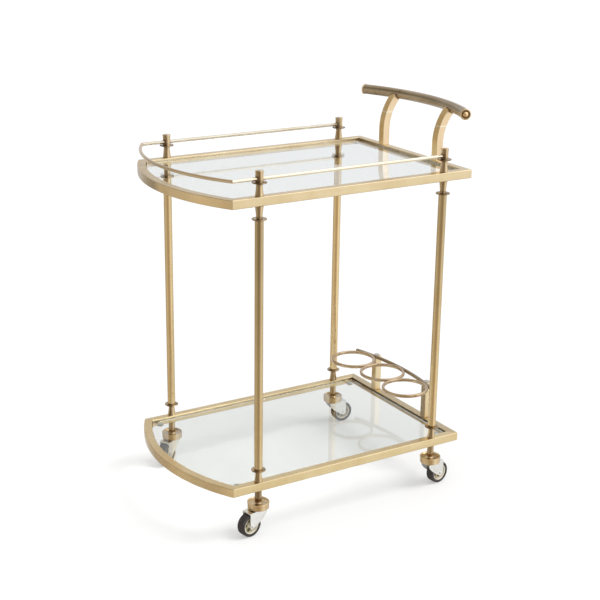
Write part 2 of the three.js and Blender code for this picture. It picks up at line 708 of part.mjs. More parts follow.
// A tyre stands on a flat of its outline: the flats lie on the true diameter
function tyre() {
  const halfTurn = Math.PI / WHEEL_SEGMENTS;
  const outer = WHEEL_DIAMETER / 2 / Math.cos(halfTurn);
  const inner = WHEEL_DIAMETER / 2 - TYRE_THICKNESS + CLEARANCE;
  const half = TYRE_WIDTH / 2;
  return acrossWheel(turned([
    [inner, -half],
    [outer - TYRE_CROWN, -half],
    [outer, TYRE_CROWN - half],
    [outer, half - TYRE_CROWN],
    [outer - TYRE_CROWN, half],
    [inner, half],
    [inner, -half],
  ], WHEEL_SEGMENTS).rotateZ(halfTurn));
}

function addCaster(corner) {
  const place = [corner.x, corner.side * POST_LINE, 0];
  addPiece(`caster_cup_${corner.name}`, casterCup(), 'brass', place);
  const swivel = new THREE.Group();
  swivel.position.set(...place);
  swivel.rotation.z = THREE.MathUtils.degToRad(CASTER_HEADINGS[corner.name]);
  cart.add(swivel);
  addPiece(`caster_fork_${corner.name}`, casterFork(), 'chrome', [0, 0, 0], swivel);
  addPiece(`caster_axle_${corner.name}`, casterAxle(), 'chrome', [0, 0, 0], swivel);
  addPiece(`wheel_${corner.name}`, wheelHub(), 'rim', [0, 0, 0], swivel);
  addPiece(`tyre_${corner.name}`, tyre(), 'rubber', [0, 0, 0], swivel);
}

addTray('upper', UPPER_TRAY);
addTray('lower', LOWER_TRAY);
addPiece('gallery_rail', galleryRail(), 'brass');
addHandle();
addRack();
for (const corner of CORNERS) {
  addPost(corner);
  addCaster(corner);
}

// Bring the middle of the bounding box over the origin
const box = new THREE.Box3().setFromObject(cart, true);
const middle = box.getCenter(new THREE.Vector3());
cart.position.set(-middle.x, -middle.y, -box.min.z);

export default cart;
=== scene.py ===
# Bar cart with two glazed trays, turned posts, a gallery, a push handle, a bottle rack and casters
import json
import math

import bpy
from mathutils import Matrix, Vector


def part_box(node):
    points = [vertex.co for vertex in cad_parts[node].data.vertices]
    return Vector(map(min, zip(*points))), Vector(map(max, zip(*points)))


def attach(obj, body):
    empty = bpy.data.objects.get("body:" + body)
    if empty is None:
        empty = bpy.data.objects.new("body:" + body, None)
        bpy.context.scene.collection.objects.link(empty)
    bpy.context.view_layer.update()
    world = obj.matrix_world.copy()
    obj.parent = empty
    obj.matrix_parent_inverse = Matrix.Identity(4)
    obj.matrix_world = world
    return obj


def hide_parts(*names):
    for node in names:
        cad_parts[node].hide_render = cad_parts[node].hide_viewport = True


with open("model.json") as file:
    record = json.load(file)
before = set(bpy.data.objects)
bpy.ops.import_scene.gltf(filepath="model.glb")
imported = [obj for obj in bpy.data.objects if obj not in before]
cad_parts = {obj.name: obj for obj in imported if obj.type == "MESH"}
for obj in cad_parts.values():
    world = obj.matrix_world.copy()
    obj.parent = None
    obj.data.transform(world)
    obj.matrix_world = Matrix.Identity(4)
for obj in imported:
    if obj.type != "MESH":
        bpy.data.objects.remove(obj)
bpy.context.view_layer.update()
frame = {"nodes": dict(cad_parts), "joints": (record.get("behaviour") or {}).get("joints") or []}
cornerNames = ["front_left", "front_right", "back_right", "back_left"]
print("frame loaded:", len(frame["nodes"]), "nodes")


# Working with Blender's tools
def pick(*pieces):
    bpy.ops.object.select_all(action="DESELECT")
    for piece in pieces:
        piece.select_set(True)
    bpy.context.view_layer.objects.active = pieces[0]


def settle(piece):
    pick(piece)
    bpy.ops.object.transform_apply(location=True, rotation=True, scale=True)
    return piece


def startEdit(piece):
    pick(piece)
    bpy.ops.object.mode_set(mode="EDIT")
    bpy.ops.mesh.select_all(action="SELECT")


def endEdit():
    bpy.ops.object.mode_set(mode="OBJECT")


# Adds a primitive with nothing else selected
def add(name, primitive, **settings):
    bpy.ops.object.select_all(action="DESELECT")
    primitive(**settings)
    piece = bpy.context.object
    piece.name = name
    return piece


# Turns all faces outwards and leaves edit mode
def closeSkin(merge=False):
    bpy.ops.mesh.select_all(action="SELECT")
    if merge:
        bpy.ops.mesh.remove_doubles(threshold=1e-6)
    bpy.ops.mesh.normals_make_consistent(inside=False)
    endEdit()


# Wraps what is in the mesh in one convex skin of flat faces and leaves edit mode
def wrapInHull():
    bpy.ops.mesh.select_all(action="SELECT")
    bpy.ops.mesh.convex_hull()
    bpy.ops.mesh.select_all(action="SELECT")
    bpy.ops.mesh.dissolve_limited(angle_limit=math.radians(1))
    endEdit()


def modify(piece, kind, **settings):
    pick(piece)
    modifier = piece.modifiers.new(kind.lower(), kind)
    for setting, value in settings.items():
        setattr(modifier, setting, value)
    bpy.ops.object.modifier_apply(modifier=modifier.name)
    return piece


# Rounds every edge sharper than the angle, then shades the rest smooth
def softenEdges(piece, width, segments=2, angle=32):
    limit = math.radians(angle)
    modify(piece, "BEVEL", width=width, segments=segments, limit_method="ANGLE", angle_limit=limit)
    pick(piece)
    bpy.ops.object.shade_smooth_by_angle(angle=limit)
    modify(piece, "WEIGHTED_NORMAL", keep_sharp=True)
    return piece


def joinPieces(name, pieces):
    pick(*pieces)
    if len(pieces) > 1:
        bpy.ops.object.join()
    joined = bpy.context.object
    joined.name = name
    joined.data.name = name
    return joined


def carve(piece, tool, operation="DIFFERENCE", keepTool=False):
    modify(piece, "BOOLEAN", object=tool, operation=operation, solver="EXACT")
    if not keepTool:
        bpy.data.objects.remove(tool)
    return piece


def cutAway(piece, point, normal):
    startEdit(piece)
    bpy.ops.mesh.bisect(plane_co=point, plane_no=normal, use_fill=True, clear_outer=True)
    endEdit()
    return piece


def copyPiece(piece, name, place):
    twin = piece.copy()
    twin.data = piece.data.copy()
    twin.name = name
    twin.data.name = name
    twin.data.transform(place)
    bpy.context.scene.collection.objects.link(twin)
    return twin


# Points along an arc with both its ends; angles in degrees
def arc(centre, radius, start, end, steps):
    angles = [math.radians(start + (end - start) * i / steps) for i in range(steps + 1)]
    return [(centre[0] + radius * math.cos(angle), centre[1] + radius * math.sin(angle)) for angle in angles]


# Draws the selected ring of edges out along (radius, height) pairs
def drawOut(extrude, outline):
    radius, height = outline[0]
    for nextRadius, nextHeight in outline[1:]:
        extrude(TRANSFORM_OT_translate={"value": (0, 0, nextHeight - height)})
        ratio = nextRadius / radius
        bpy.ops.transform.resize(value=(ratio, ratio, 1))
        radius, height = nextRadius, nextHeight


# Turned on a lathe about Z: a solid from its bottom face to its top face
def turn(name, outline, segments=64):
    radius, height = outline[0]
    piece = settle(add(name, bpy.ops.mesh.primitive_circle_add, vertices=segments, radius=radius,
                       fill_type="NGON", location=(0, 0, height)))
    startEdit(piece)
    drawOut(bpy.ops.mesh.extrude_region_move, outline)
    closeSkin()
    return piece


# Turned the same way, but the outline runs round and closes on itself
def turnRing(name, outline, segments):
    radius, height = outline[0]
    piece = settle(add(name, bpy.ops.mesh.primitive_circle_add, vertices=segments, radius=radius,
                       location=(0, 0, height)))
    startEdit(piece)
    drawOut(bpy.ops.mesh.extrude_edges_move, outline + outline[:1])
    closeSkin(merge=True)
    return piece


# A rectangular section with rounded corners, standing upright in the XZ plane
def uprightSection(width, height, rounding, centre, roundSegments=3):
    piece = add("section", bpy.ops.mesh.primitive_plane_add, size=1)
    piece.scale = (width, height, 1)
    settle(piece)
    startEdit(piece)
    bpy.ops.mesh.bevel(offset=rounding, segments=roundSegments, affect="VERTICES")
    endEdit()
    piece.rotation_euler = (math.pi / 2, 0, 0)
    piece.location = centre
    return settle(piece)


# Swings a section to its first angle about an upright axis, then spins it round, anticlockwise;
# a full turn closes on itself, a part turn gets end faces
def sweep(piece, centre, start, angle, steps):
    piece.rotation_euler.z = start
    piece.location = (*centre, 0)
    settle(piece)
    startEdit(piece)
    full = abs(angle) > 2 * math.pi - 0.001
    if full:
        bpy.ops.mesh.delete(type="ONLY_FACE")
        bpy.ops.mesh.select_all(action="SELECT")
    bpy.ops.mesh.spin(steps=steps, angle=-angle, center=(*centre, 0), axis=(0, 0, 1), use_auto_merge=full)
    closeSkin(merge=True)
    return piece


def cylinder(name, diameter, low, high, at=(0, 0), segments=48):
    return settle(add(name, bpy.ops.mesh.primitive_cylinder_add, vertices=segments, radius=diameter / 2,
                      depth=high - low, location=(*at, (low + high) / 2)))


def cube(name, low, high):
    centre = [(a + b) / 2 for a, b in zip(low, high)]
    piece = add(name, bpy.ops.mesh.primitive_cube_add, size=1, location=centre)
    piece.scale = [b - a for a, b in zip(low, high)]
    return settle(piece)


def middle(node):
    low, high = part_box(node)
    return (low + high) / 2


# Moves a turned piece from the origin's axis to another upright axis
def standOn(piece, centre, z=0, upsideDown=False):
    place = Matrix.Translation((centre.x, centre.y, z))
    if upsideDown:
        place = place @ Matrix.Rotation(math.pi, 4, "X")
    piece.data.transform(place)
    return piece


# Shader expressions: arithmetic on these adds Math nodes
class Value:
    def __init__(self, finish, socket):
        self.finish = finish
        self.socket = socket

    def maths(self, operation, *values):
        node = self.finish.node("ShaderNodeMath", {"operation": operation}, dict(enumerate(values)))
        return Value(self.finish, node.outputs[0])

    def __add__(self, other):
        return self.maths("ADD", self, other)

    def __radd__(self, other):
        return self.maths("ADD", other, self)

    def __sub__(self, other):
        return self.maths("SUBTRACT", self, other)

    def __rsub__(self, other):
        return self.maths("SUBTRACT", other, self)

    def __mul__(self, other):
        return self.maths("MULTIPLY", self, other)

    def __rmul__(self, other):
        return self.maths("MULTIPLY", other, self)

    def __truediv__(self, other):
        return self.maths("DIVIDE", self, other)

    def __pow__(self, other):
        return self.maths("POWER", self, other)


class Finish:
    def __init__(self, name, tree=None):
        if tree is None:
            self.material = bpy.data.materials.new(name)
            self.material.use_nodes = True
            tree = self.material.node_tree
        self.tree = tree
        tree.nodes.clear()

    def node(self, kind, settings=None, inputs=None):
        node = self.tree.nodes.new(kind)
        for setting, value in (settings or {}).items():
            if setting == "stops":
                ramp = node.color_ramp.elements
                while len(ramp) < len(value):
                    ramp.new(0.5)
                for stop, (position, colour) in zip(ramp, value):
                    stop.position = position
                    stop.color = (*colour, 1)
            else:
                setattr(node, setting, value)
        for key, value in (inputs or {}).items():
            if isinstance(value, Value):
                self.tree.links.new(value.socket, node.inputs[key])
            else:
                node.inputs[key].default_value = value
        return node

    def value(self, kind, output, settings=None, inputs=None):
        return Value(self, self.node(kind, settings, inputs).outputs[output])

    def position(self):
        return self.value("ShaderNodeTexCoord", "Object")

    def axes(self):
        split = self.node("ShaderNodeSeparateXYZ", None, {0: self.position()})
        return [Value(self, split.outputs[i]) for i in range(3)]

    def point(self, x, y, z):
        return self.value("ShaderNodeCombineXYZ", 0, None, {0: x, 1: y, 2: z})

    def noise(self, at, scale, detail=3, roughness=0.5):
        inputs = {"Vector": at, "Scale": scale, "Detail": detail, "Roughness": roughness}
        return self.value("ShaderNodeTexNoise", "Fac", None, inputs)

    def spread(self, value, low, high):
        inputs = {"Value": value, "From Min": low, "From Max": high}
        return self.value("ShaderNodeMapRange", 0, None, inputs)

    def blend(self, factor, first, second):
        inputs = {0: factor, 6: (*first, 1) if isinstance(first, tuple) else first,
                  7: (*second, 1) if isinstance(second, tuple) else second}
        return self.value("ShaderNodeMix", 2, {"data_type": "RGBA"}, inputs)

    def bump(self, height, strength, distance):
        inputs = {"Height": height, "Strength": strength, "Distance": distance}
        return self.value("ShaderNodeBump", 0, None, inputs)

    def surface(self, **sockets):
        inputs = {name.replace("_", " "): value for name, value in sockets.items()}
        self.output(self.value("ShaderNodeBsdfPrincipled", 0, None, inputs))

    def output(self, shader):
        for old in [n for n in self.tree.nodes if n.type == "OUTPUT_MATERIAL"]:
            self.tree.nodes.remove(old)
        self.node("ShaderNodeOutputMaterial", None, {"Surface": shader})


# The compass angle of the side of the posts that is painted darker, as painted shade
studioAxis = math.radians(-121)

# Satin brass with fine polishing lines along the piece and a faint warm tarnish in patches
brassLook = {
    "pale": (0.83, 0.68, 0.435),
    "warm": (0.68, 0.50, 0.27),
    "tarnishAndShade": (0.40, 0.26, 0.13),
    "roughness": 0.23,
    "lineBump": 0.00003,
}
# The upper tray's bowed rail is painted a little darker on top, a painted shade, and the lower one is
# yellower
trayLooks = {
    "upper": {**brassLook, "pale": (0.75, 0.605, 0.38), "warm": (0.61, 0.445, 0.235)},
    "lower": {**brassLook, "pale": (0.80, 0.63, 0.36), "warm": (0.65, 0.465, 0.225)},
}
lowerRailLook = {**brassLook, "pale": (0.83, 0.675, 0.40), "warm": (0.68, 0.495, 0.245)}
bowFaceLook = {**brassLook, "pale": (1.0, 0.79, 0.485), "warm": (0.82, 0.58, 0.30),
               "dark": (0.05, 0.03, 0.015)}
rodLook = {**brassLook, "roughness": 0.14, "pale": (0.90, 0.82, 0.66), "warm": (0.80, 0.66, 0.45)}
bowRodLook = {**rodLook, "pale": (0.80, 0.65, 0.46), "warm": (0.66, 0.50, 0.32)}
postLook = {**brassLook, "roughness": 0.16, "pale": (0.90, 0.70, 0.41), "warm": (0.76, 0.55, 0.28),
            "lineBump": 0.000006, "lineTone": 0.2}
turnedLook = {**brassLook, "roughness": 0.09, "pale": (0.82, 0.64, 0.41), "lineBump": 0.000008,
              "dark": (0.07, 0.03, 0.01)}
gripLook = {
    "pale": (0.70, 0.585, 0.43),
    "warm": (0.40, 0.305, 0.19),
    "tarnishAndShade": (0.17, 0.115, 0.065),
    "roughness": 0.30,
    "lineBump": 0.00012,
    "lineTone": 0.55,
    "spotting": 0.75,
}
armLook = {**brassLook, "pale": (0.89, 0.70, 0.475), "warm": (0.78, 0.565, 0.33), "dark": (0.10, 0.055, 0.02)}
# A warmer copy of the arm brass for the arms' left faces, painted light for that side
armPaintedSideLook = {**armLook, "pale": (0.88, 0.66, 0.34), "warm": (0.76, 0.53, 0.24)}
capLook = {**turnedLook, "pale": (0.86, 0.70, 0.47), "warm": (0.70, 0.53, 0.32)}
grooveLook = {**turnedLook, "pale": (0.30, 0.18, 0.08), "warm": (0.17, 0.10, 0.045)}
knobLook = {**turnedLook, "pale": (0.95, 0.70, 0.42), "warm": (0.82, 0.53, 0.27)}
ringLook = {**turnedLook, "roughness": 0.16, "pale": (0.66, 0.51, 0.34), "warm": (0.44, 0.31, 0.18)}
stripLook = {**ringLook, "pale": (0.40, 0.30, 0.18), "warm": (0.27, 0.185, 0.10)}


# Each post: how bright it is painted, how much painted shade lies down its outer side, and how much brighter
# it is painted lower down
postPaintedLight = {
    "front_left": (0.76, 0.40, 0.06),
    "front_right": (0.77, 0.22, 0.18),
    "back_right": (1.0, 0.0, 0.0),
    "back_left": (0.90, 0.0, 0.05),
}


# Paints a post's light and shade: its level, a painted shade down its outer side, and painted light lower
# down
def postShade(corner, centre):
    level, tarnishAndShade, lift = postPaintedLight[corner]

    def shade(finish):
        x, y, z = finish.axes()
        outward = ((x - centre.x) * math.cos(studioAxis) + (y - centre.y) * math.sin(studioAxis)) * 100
        lower = finish.spread(z, 0.72, 0.25)
        streak = finish.spread(outward, 0.66, 1.0) * tarnishAndShade * (1.0 - lower)
        return (level + lower * lift) * (1.0 - streak)
    return shade


# How bright each bowed rail's outer face is painted, as painted light and shade, by the angle round its bow
# from the front corner
bowPaintedLight = {
    "upper": ((-31, 0.83), (-20, 0.96), (-14, 0.85), (-8, 0.93), (-2, 1.0), (2, 0.60), (10, 0.74),
              (24, 0.60), (31, 0.68)),
    "lower": ((-31, 0.97), (-24, 0.71), (-17, 0.75), (-10, 0.93), (2, 1.0), (11, 0.92), (22, 1.0),
              (31, 0.88)),
}


def bowShade(name, centre, reach):
    stops = [((degrees / reach + 1) / 2, (level, level, level)) for degrees, level in bowPaintedLight[name]]

    def shade(finish):
        x, y, z = finish.axes()
        angle = y.maths("ARCTAN2", y, centre - x) * (90 / math.pi / reach) + 0.5
        return finish.value("ShaderNodeValToRGB", 0, {"stops": stops}, {"Fac": angle})
    return shade


# 0 at the lower tray and 1 at the upper one
def trayLevel(finish):
    return finish.spread(finish.axes()[2], 0.13, 0.80)


# The lower tray and the end of the cart are painted a little darker than the rest, a painted shade
def railShade(finish):
    return 0.97 + trayLevel(finish) * 0.03


def endShade(finish):
    return 0.78 + trayLevel(finish) * 0.22


# 1 on the side of the turned pieces that is painted with shade, -1 on the other; x and y from their axis
def shadedSide(x, y):
    way = turning["shadedSide"]
    return (x * math.cos(way) + y * math.sin(way)) / (x * x + y * y) ** 0.5


# Patina lies in the corners either side of each collar; painted shade lies round where the rod enters and
# down one side
patinaAndShadeMarks = {
    "collarReach": (0.0085, 0.0025),
    "collarDark": (0.30, 0.36),
    "sideReach": (0.74, 0.97),
    "sideDark": 0.52,
    "holeHeight": (0.0085, 0.0045),
    "holeAcross": (-0.001, -0.006),
    "holeDark": 0.6,
}


def patinaAndShade(centre):
    marks = patinaAndShadeMarks

    def shade(finish):
        x, y, z = finish.axes()
        dark = 0.0
        for height in turning["collarHeights"]:
            away = z.maths("ABSOLUTE", z - height)
            dark = z.maths("MAXIMUM", dark, finish.spread(away, *marks["collarReach"]))
        mottle = finish.spread(finish.noise(finish.position(), 70.0, 2), 0.35, 0.6)
        least, more = marks["collarDark"]
        clean = 0.98 - dark * (least + mottle * more)
        x, y = x - centre.x, y - centre.y
        level = z.maths("ABSOLUTE", z - turning["rodHeight"])
        hole = finish.spread(level, *marks["holeHeight"]) * finish.spread(x, *marks["holeAcross"])
        side = finish.spread(shadedSide(x, y), *marks["sideReach"])
        return clean * (1.0 - side * marks["sideDark"]) * (1.0 - hole * marks["holeDark"])
    return shade


# A caster's cup has a darker, mottled dish, and painted shade down one side of its stub, most where its post
# has painted shade too
cupMarks = {"stub": (0.0100, 0.0086), "dish": (0.0236, 0.0226), "dishDark": (0.10, 0.28),
            "sideReach": (-0.35, 0.8), "sideDark": (0.25, 0.95)}


def cupShade(corner, centre):
    least, more = cupMarks["sideDark"]
    sideShade = least + postPaintedLight[corner][1] * more

    def shade(finish):
        x, y, z = finish.axes()
        x, y = x - centre.x, y - centre.y
        reach = (x * x + y * y) ** 0.5
        stub = finish.spread(reach, *cupMarks["stub"])
        dish = finish.spread(reach, *cupMarks["dish"]) * (1.0 - stub)
        mottle = finish.spread(finish.noise(finish.position(), 90.0, 3), 0.35, 0.65)
        streak = stub * finish.spread(shadedSide(x, y), *cupMarks["sideReach"]) * sideShade
        least, more = cupMarks["dishDark"]
        return 1.0 - dish * (least + mottle * more) - streak
    return shade


# Painted shade on the arms where they meet the round grip
def armShade(gripArc):
    centre, radius, height = gripArc

    def shade(finish):
        x, y, z = finish.axes()
        x, z = x - centre, z - height
        outward = (x * x + y * y) ** 0.5 - radius
        away = (outward * outward + z * z) ** 0.5
        return 1.0 - finish.spread(away, 0.0162, 0.0138) * 0.85
    return shade


# Broad dark streaks along the grip
def gripShade(centre):
    def shade(finish):
        streaks = finish.noise(alongLines(finish, "grip", centre), 0.3, 2)
        return 1.0 - finish.spread(streaks, 0.46, 0.66) * 0.42
    return shade


# The gallery rods are painted darker towards the back, a painted shade
def rodShade(finish):
    x, y, z = finish.axes()
    return 1.0 - finish.spread(y, -0.15, 0.20) * 0.30


# The rails' inner walls are painted dark with shade above the glass, and pale with painted light where the
# light comes up through it
def recessShade(finish):
    x, y, z = finish.axes()
    height = z.maths("MODULO", z, tray["spacing"])
    below = finish.spread(height, tray["glassTop"], tray["glassTop"] - 0.0008)
    dark = 0.22 + trayLevel(finish) * 0.43
    return dark + below * (0.95 - dark)


def alongLines(finish, direction, centre):
    x, y, z = finish.axes()
    if direction == "x":
        return finish.point(x * 6, y * 900, z * 900)
    if direction == "y":
        return finish.point(x * 900, y * 6, z * 900)
    if direction == "z":
        return finish.point(x * 420, y * 420, z * 2.5)
    if direction == "turned":
        return finish.point(x * 6, y * 6, z * 900)
    # round a vertical axis: along the arc, then across it
    x = x - centre[0]
    y = y - centre[1]
    reach = (x * x + y * y) ** 0.5
    arc = y.maths("ARCTAN2", y, x) * (6 * centre[2])
    if direction == "round":
        return finish.point(arc, reach * 900, z * 900)
    # the grip: along the arc, and round its own section
    section = y.maths("ARCTAN2", z - centre[3], reach - centre[2])
    return finish.point(arc, section.maths("SINE", section) * 9, section.maths("COSINE", section) * 9)


def brassFinish(name, direction, centre=(0, 0, 3), look=brassLook, shade=None, highlightBand=None):
    finish = Finish(name)
    lines = finish.noise(alongLines(finish, direction, centre), 1.0, 4, 0.6)
    patches = finish.noise(finish.position(), 14.0, 4, 0.55)
    smudges = finish.noise(finish.position(), 55.0, 3, 0.6)
    lined = finish.spread(lines, 0.35, 0.7) * look.get("lineTone", 0.30)
    warmth = finish.spread(patches, 0.38, 0.68) * 0.45 + lined
    tone = finish.blend(warmth, look["pale"], look["warm"])
    spots = finish.spread(smudges, 0.62, 0.8) * finish.spread(patches, 0.45, 0.7)
    tone = finish.blend(spots * look.get("spotting", 0.35), tone, look["tarnishAndShade"])
    if shade:
        tone = finish.blend(shade(finish), look.get("dark", (0, 0, 0)), tone)
    # A painted highlight in a band round the piece, at a given height
    if highlightBand:
        x, y, z = finish.axes()
        away = z.maths("ABSOLUTE", z - highlightBand["height"])
        tone = finish.blend(finish.spread(away, highlightBand["width"], 0) * highlightBand["strength"], tone, highlightBand["tone"])
    worn = finish.spread(lines, 0.3, 0.7) * 0.10 + finish.spread(smudges, 0.4, 0.7) * 0.05
    relief = finish.bump(lines, 0.35, look["lineBump"])
    finish.surface(Base_Color=tone, Metallic=1.0, Roughness=look["roughness"] + worn, Normal=relief)
    return finish.material


# Plain finishes: two tones in patches, rougher where the second tone is, and a fine grain
plainLooks = {
    "dull_plate": {"tones": ((0.74, 0.73, 0.69), (0.60, 0.58, 0.54)), "patches": (160, 3), "metallic": 0.3,
                   "roughness": (0.42, 0.2)},
    "bearing_steel_and_shade": {"tones": ((0.05, 0.045, 0.04), (0.11, 0.10, 0.085)), "patches": (300, 4),
                      "metallic": 0.8, "roughness": (0.4, 0.25)},
    "tyre_rubber": {"tones": ((0.036, 0.030, 0.027), (0.085, 0.075, 0.066)), "patches": (90, 4, 0.6),
                    "limits": (0.42, 0.75), "roughness": (0.55, 0.2), "grain": (1500, 2),
                    "relief": (0.3, 0.00005)},
    "wheel_moulding": {"tones": ((0.96, 0.90, 0.77), (0.84, 0.77, 0.61))},
    "wheel_well_shade": {"tones": ((0.62, 0.56, 0.38), (0.46, 0.41, 0.24))},
    "wheel_shadow": {"tones": ((0.10, 0.085, 0.04), (0.19, 0.165, 0.085))},
    "soft_pad": {"tones": ((0.30, 0.32, 0.30), (0.42, 0.44, 0.42)), "patches": (400, 3), "limits": (0, 1),
                 "roughness": (0.45, 0.2), "grain": (400, 3), "relief": (0.2, 0.00005)},
    "grey_cap": {"tones": ((0.36, 0.34, 0.31), (0.50, 0.48, 0.44)), "patches": (500, 3), "limits": (0, 1),
                 "roughness": (0.5, 0.15), "grain": (500, 3), "relief": (0.2, 0.00003)},
}
for name in ("wheel_moulding", "wheel_well_shade", "wheel_shadow"):
    plainLooks[name].update(patches=(160, 3), roughness=(0.34, 0.15), coat=0.2, grain=(1800, 2),
                            relief=(0.2, 0.00003))


def plainFinish(name):
    look = plainLooks[name]
    finish = Finish(name)
    patches = finish.noise(finish.position(), *look["patches"])
    tone = finish.blend(finish.spread(patches, *look.get("limits", (0.35, 0.7))), *look["tones"])
    least, more = look["roughness"]
    sockets = {"Metallic": look.get("metallic", 0.0), "Coat_Weight": look.get("coat", 0.0)}
    if "grain" in look:
        sockets["Normal"] = finish.bump(finish.noise(finish.position(), *look["grain"]), *look["relief"])
    finish.surface(Base_Color=tone, Roughness=least + patches * more, **sockets)
    return finish.material


def chromeFinish():
    finish = Finish("chrome_plate")
    haze = finish.noise(finish.position(), 120.0, 3)
    specks = finish.noise(finish.position(), 900.0, 2)
    tone = finish.blend(finish.spread(haze, 0.4, 0.7) * 0.5, (0.87, 0.865, 0.84), (0.75, 0.735, 0.68))
    finish.surface(Base_Color=tone, Metallic=1.0, Roughness=0.07 + finish.spread(haze, 0.4, 0.75) * 0.08,
                   Normal=finish.bump(specks, 0.2, 0.00001))
    return finish.material


# Clear glass that lets light through to the floor, a little green, with faint wiping marks
def glassFinish(name, tint, bend):
    finish = Finish(f"{name}_clear_glass")
    wipes = finish.noise(finish.position(), 25.0, 4, 0.6)
    marks = finish.spread(wipes, 0.55, 0.8)
    glass = finish.value("ShaderNodeBsdfPrincipled", 0, None, {
        "Base Color": (*tint, 1),
        "Roughness": 0.004 + marks * 0.012,
        "IOR": bend,
        "Transmission Weight": 1.0,
    })
    clear = finish.value("ShaderNodeBsdfTransparent", 0, None, {"Color": (0.985, 0.99, 0.985, 1)})
    shadowRay = finish.value("ShaderNodeLightPath", "Is Shadow Ray")
    finish.output(finish.value("ShaderNodeMixShader", 0, None, {0: shadowRay, 1: glass, 2: clear}))
    return finish.material


print("finishes are ready")


# Gives some faces of a piece a second material
def paintFaces(piece, material, chosen):
    piece.data.materials.append(material)
    for face in piece.data.polygons:
        if chosen(face):
            face.material_index = len(piece.data.materials) - 1


# Without a material, a piece keeps those that its faces have
def finishPiece(piece, body, slotName, material, *nodes):
    if material:
        piece.data.materials.clear()
        piece.data.materials.append(material)
    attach(piece, body)
    if nodes:
        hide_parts(*nodes)
    return piece


# Trays: mitred square tube with small welded tabs, a glass pane and four pads
tray = {
    "rail": 0.021,
    "spacing": 0.684,
    "glassTop": 0.1245,
    "bowRise": 0.066,
    "edgeRadius": 0.0018,
    "mitreGap": 0.00004,
    "seamEdge": 0.00025,
    "bowSteps": 64,
    "overrun": 0.03,
    "tabDiameter": 0.016,
    "tabThickness": 0.0025,
    "tabNeck": 0.008,
    "clearance": 0.0003,
    "glassEdge": 0.0005,
}


class TrayPlan:
    def __init__(self, name):
        low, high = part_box(f"{name}_frame")
        self.low, self.high = low, high
        self.half = high.y
        self.corner = low.x + tray["bowRise"]
        self.radius = (self.half ** 2 + tray["bowRise"] ** 2) / (2 * tray["bowRise"])
        self.centre = low.x + self.radius

    # X of the bowed corner at a distance inside the outer edge
    def bowCorner(self, inset):
        return self.centre - math.sqrt((self.radius - inset) ** 2 - (self.half - inset) ** 2)

    # Cuts a rail along the joint from the outer corner to the inner one, and drops what lies that way
    def mitre(self, piece, side, corners, way):
        outer = Vector((corners[0], side * self.half, 0))
        along = Vector((corners[1], side * (self.half - tray["rail"]), 0)) - outer
        normal = Vector((along.y, -along.x, 0)).normalized()
        if normal.dot(Vector(way) - outer) < 0:
            normal.negate()
        cutAway(piece, outer - normal * tray["mitreGap"], normal)


def roundedTube(name, low, high, rounding):
    piece = cube(name, low, high)
    longest = max(range(3), key=lambda axis: high[axis] - low[axis])
    span = high[longest] - low[longest]
    vertices = piece.data.vertices
    for part in (*piece.data.polygons, *vertices):
        part.select = False
    for edge in piece.data.edges:
        first, second = (vertices[i].co for i in edge.vertices)
        edge.select = abs(first[longest] - second[longest]) > span / 2
    pick(piece)
    bpy.ops.object.mode_set(mode="EDIT")
    bpy.ops.mesh.select_mode(type="EDGE")
    bpy.ops.mesh.bevel(offset=rounding, segments=4, affect="EDGES")
    bpy.ops.mesh.select_mode(type="VERT")
    endEdit()
    return piece


def trayRails(plan):
    rail, rounding = tray["rail"], tray["edgeRadius"]
    low, high, half = plan.low, plan.high, plan.half
    atEnd, atBow = (high.x, high.x - rail), (plan.corner, plan.bowCorner(rail))
    end = roundedTube("end", (high.x - rail, -half, low.z), (high.x, half, high.z), rounding)
    start = math.asin(half / plan.radius) + tray["overrun"]
    bow = uprightSection(rail, rail, rounding, (rail / 2 - plan.radius, 0, (low.z + high.z) / 2), 4)
    sweep(bow, (plan.centre, 0), start, -2 * start, tray["bowSteps"])
    rails = []
    for side in (-1, 1):
        first, last = sorted([side * half, side * (half - rail)])
        piece = roundedTube("side", (plan.corner - rail, first, low.z), (high.x, last, high.z), rounding)
        plan.mitre(piece, side, atEnd, (high.x - rail / 2, 0, 0))
        plan.mitre(piece, side, atBow, (low.x + rail / 2, 0, 0))
        plan.mitre(end, side, atEnd, (0, side * half, 0))
        plan.mitre(bow, side, atBow, (0, side * half, 0))
        rails.append(piece)
    return rails + [end, bow]


# How far a face points towards an upright axis, from -1 to 1
def inwards(face, centre):
    towards = centre - face.center
    return face.normal.dot(Vector((towards.x, towards.y, 0)).normalized())


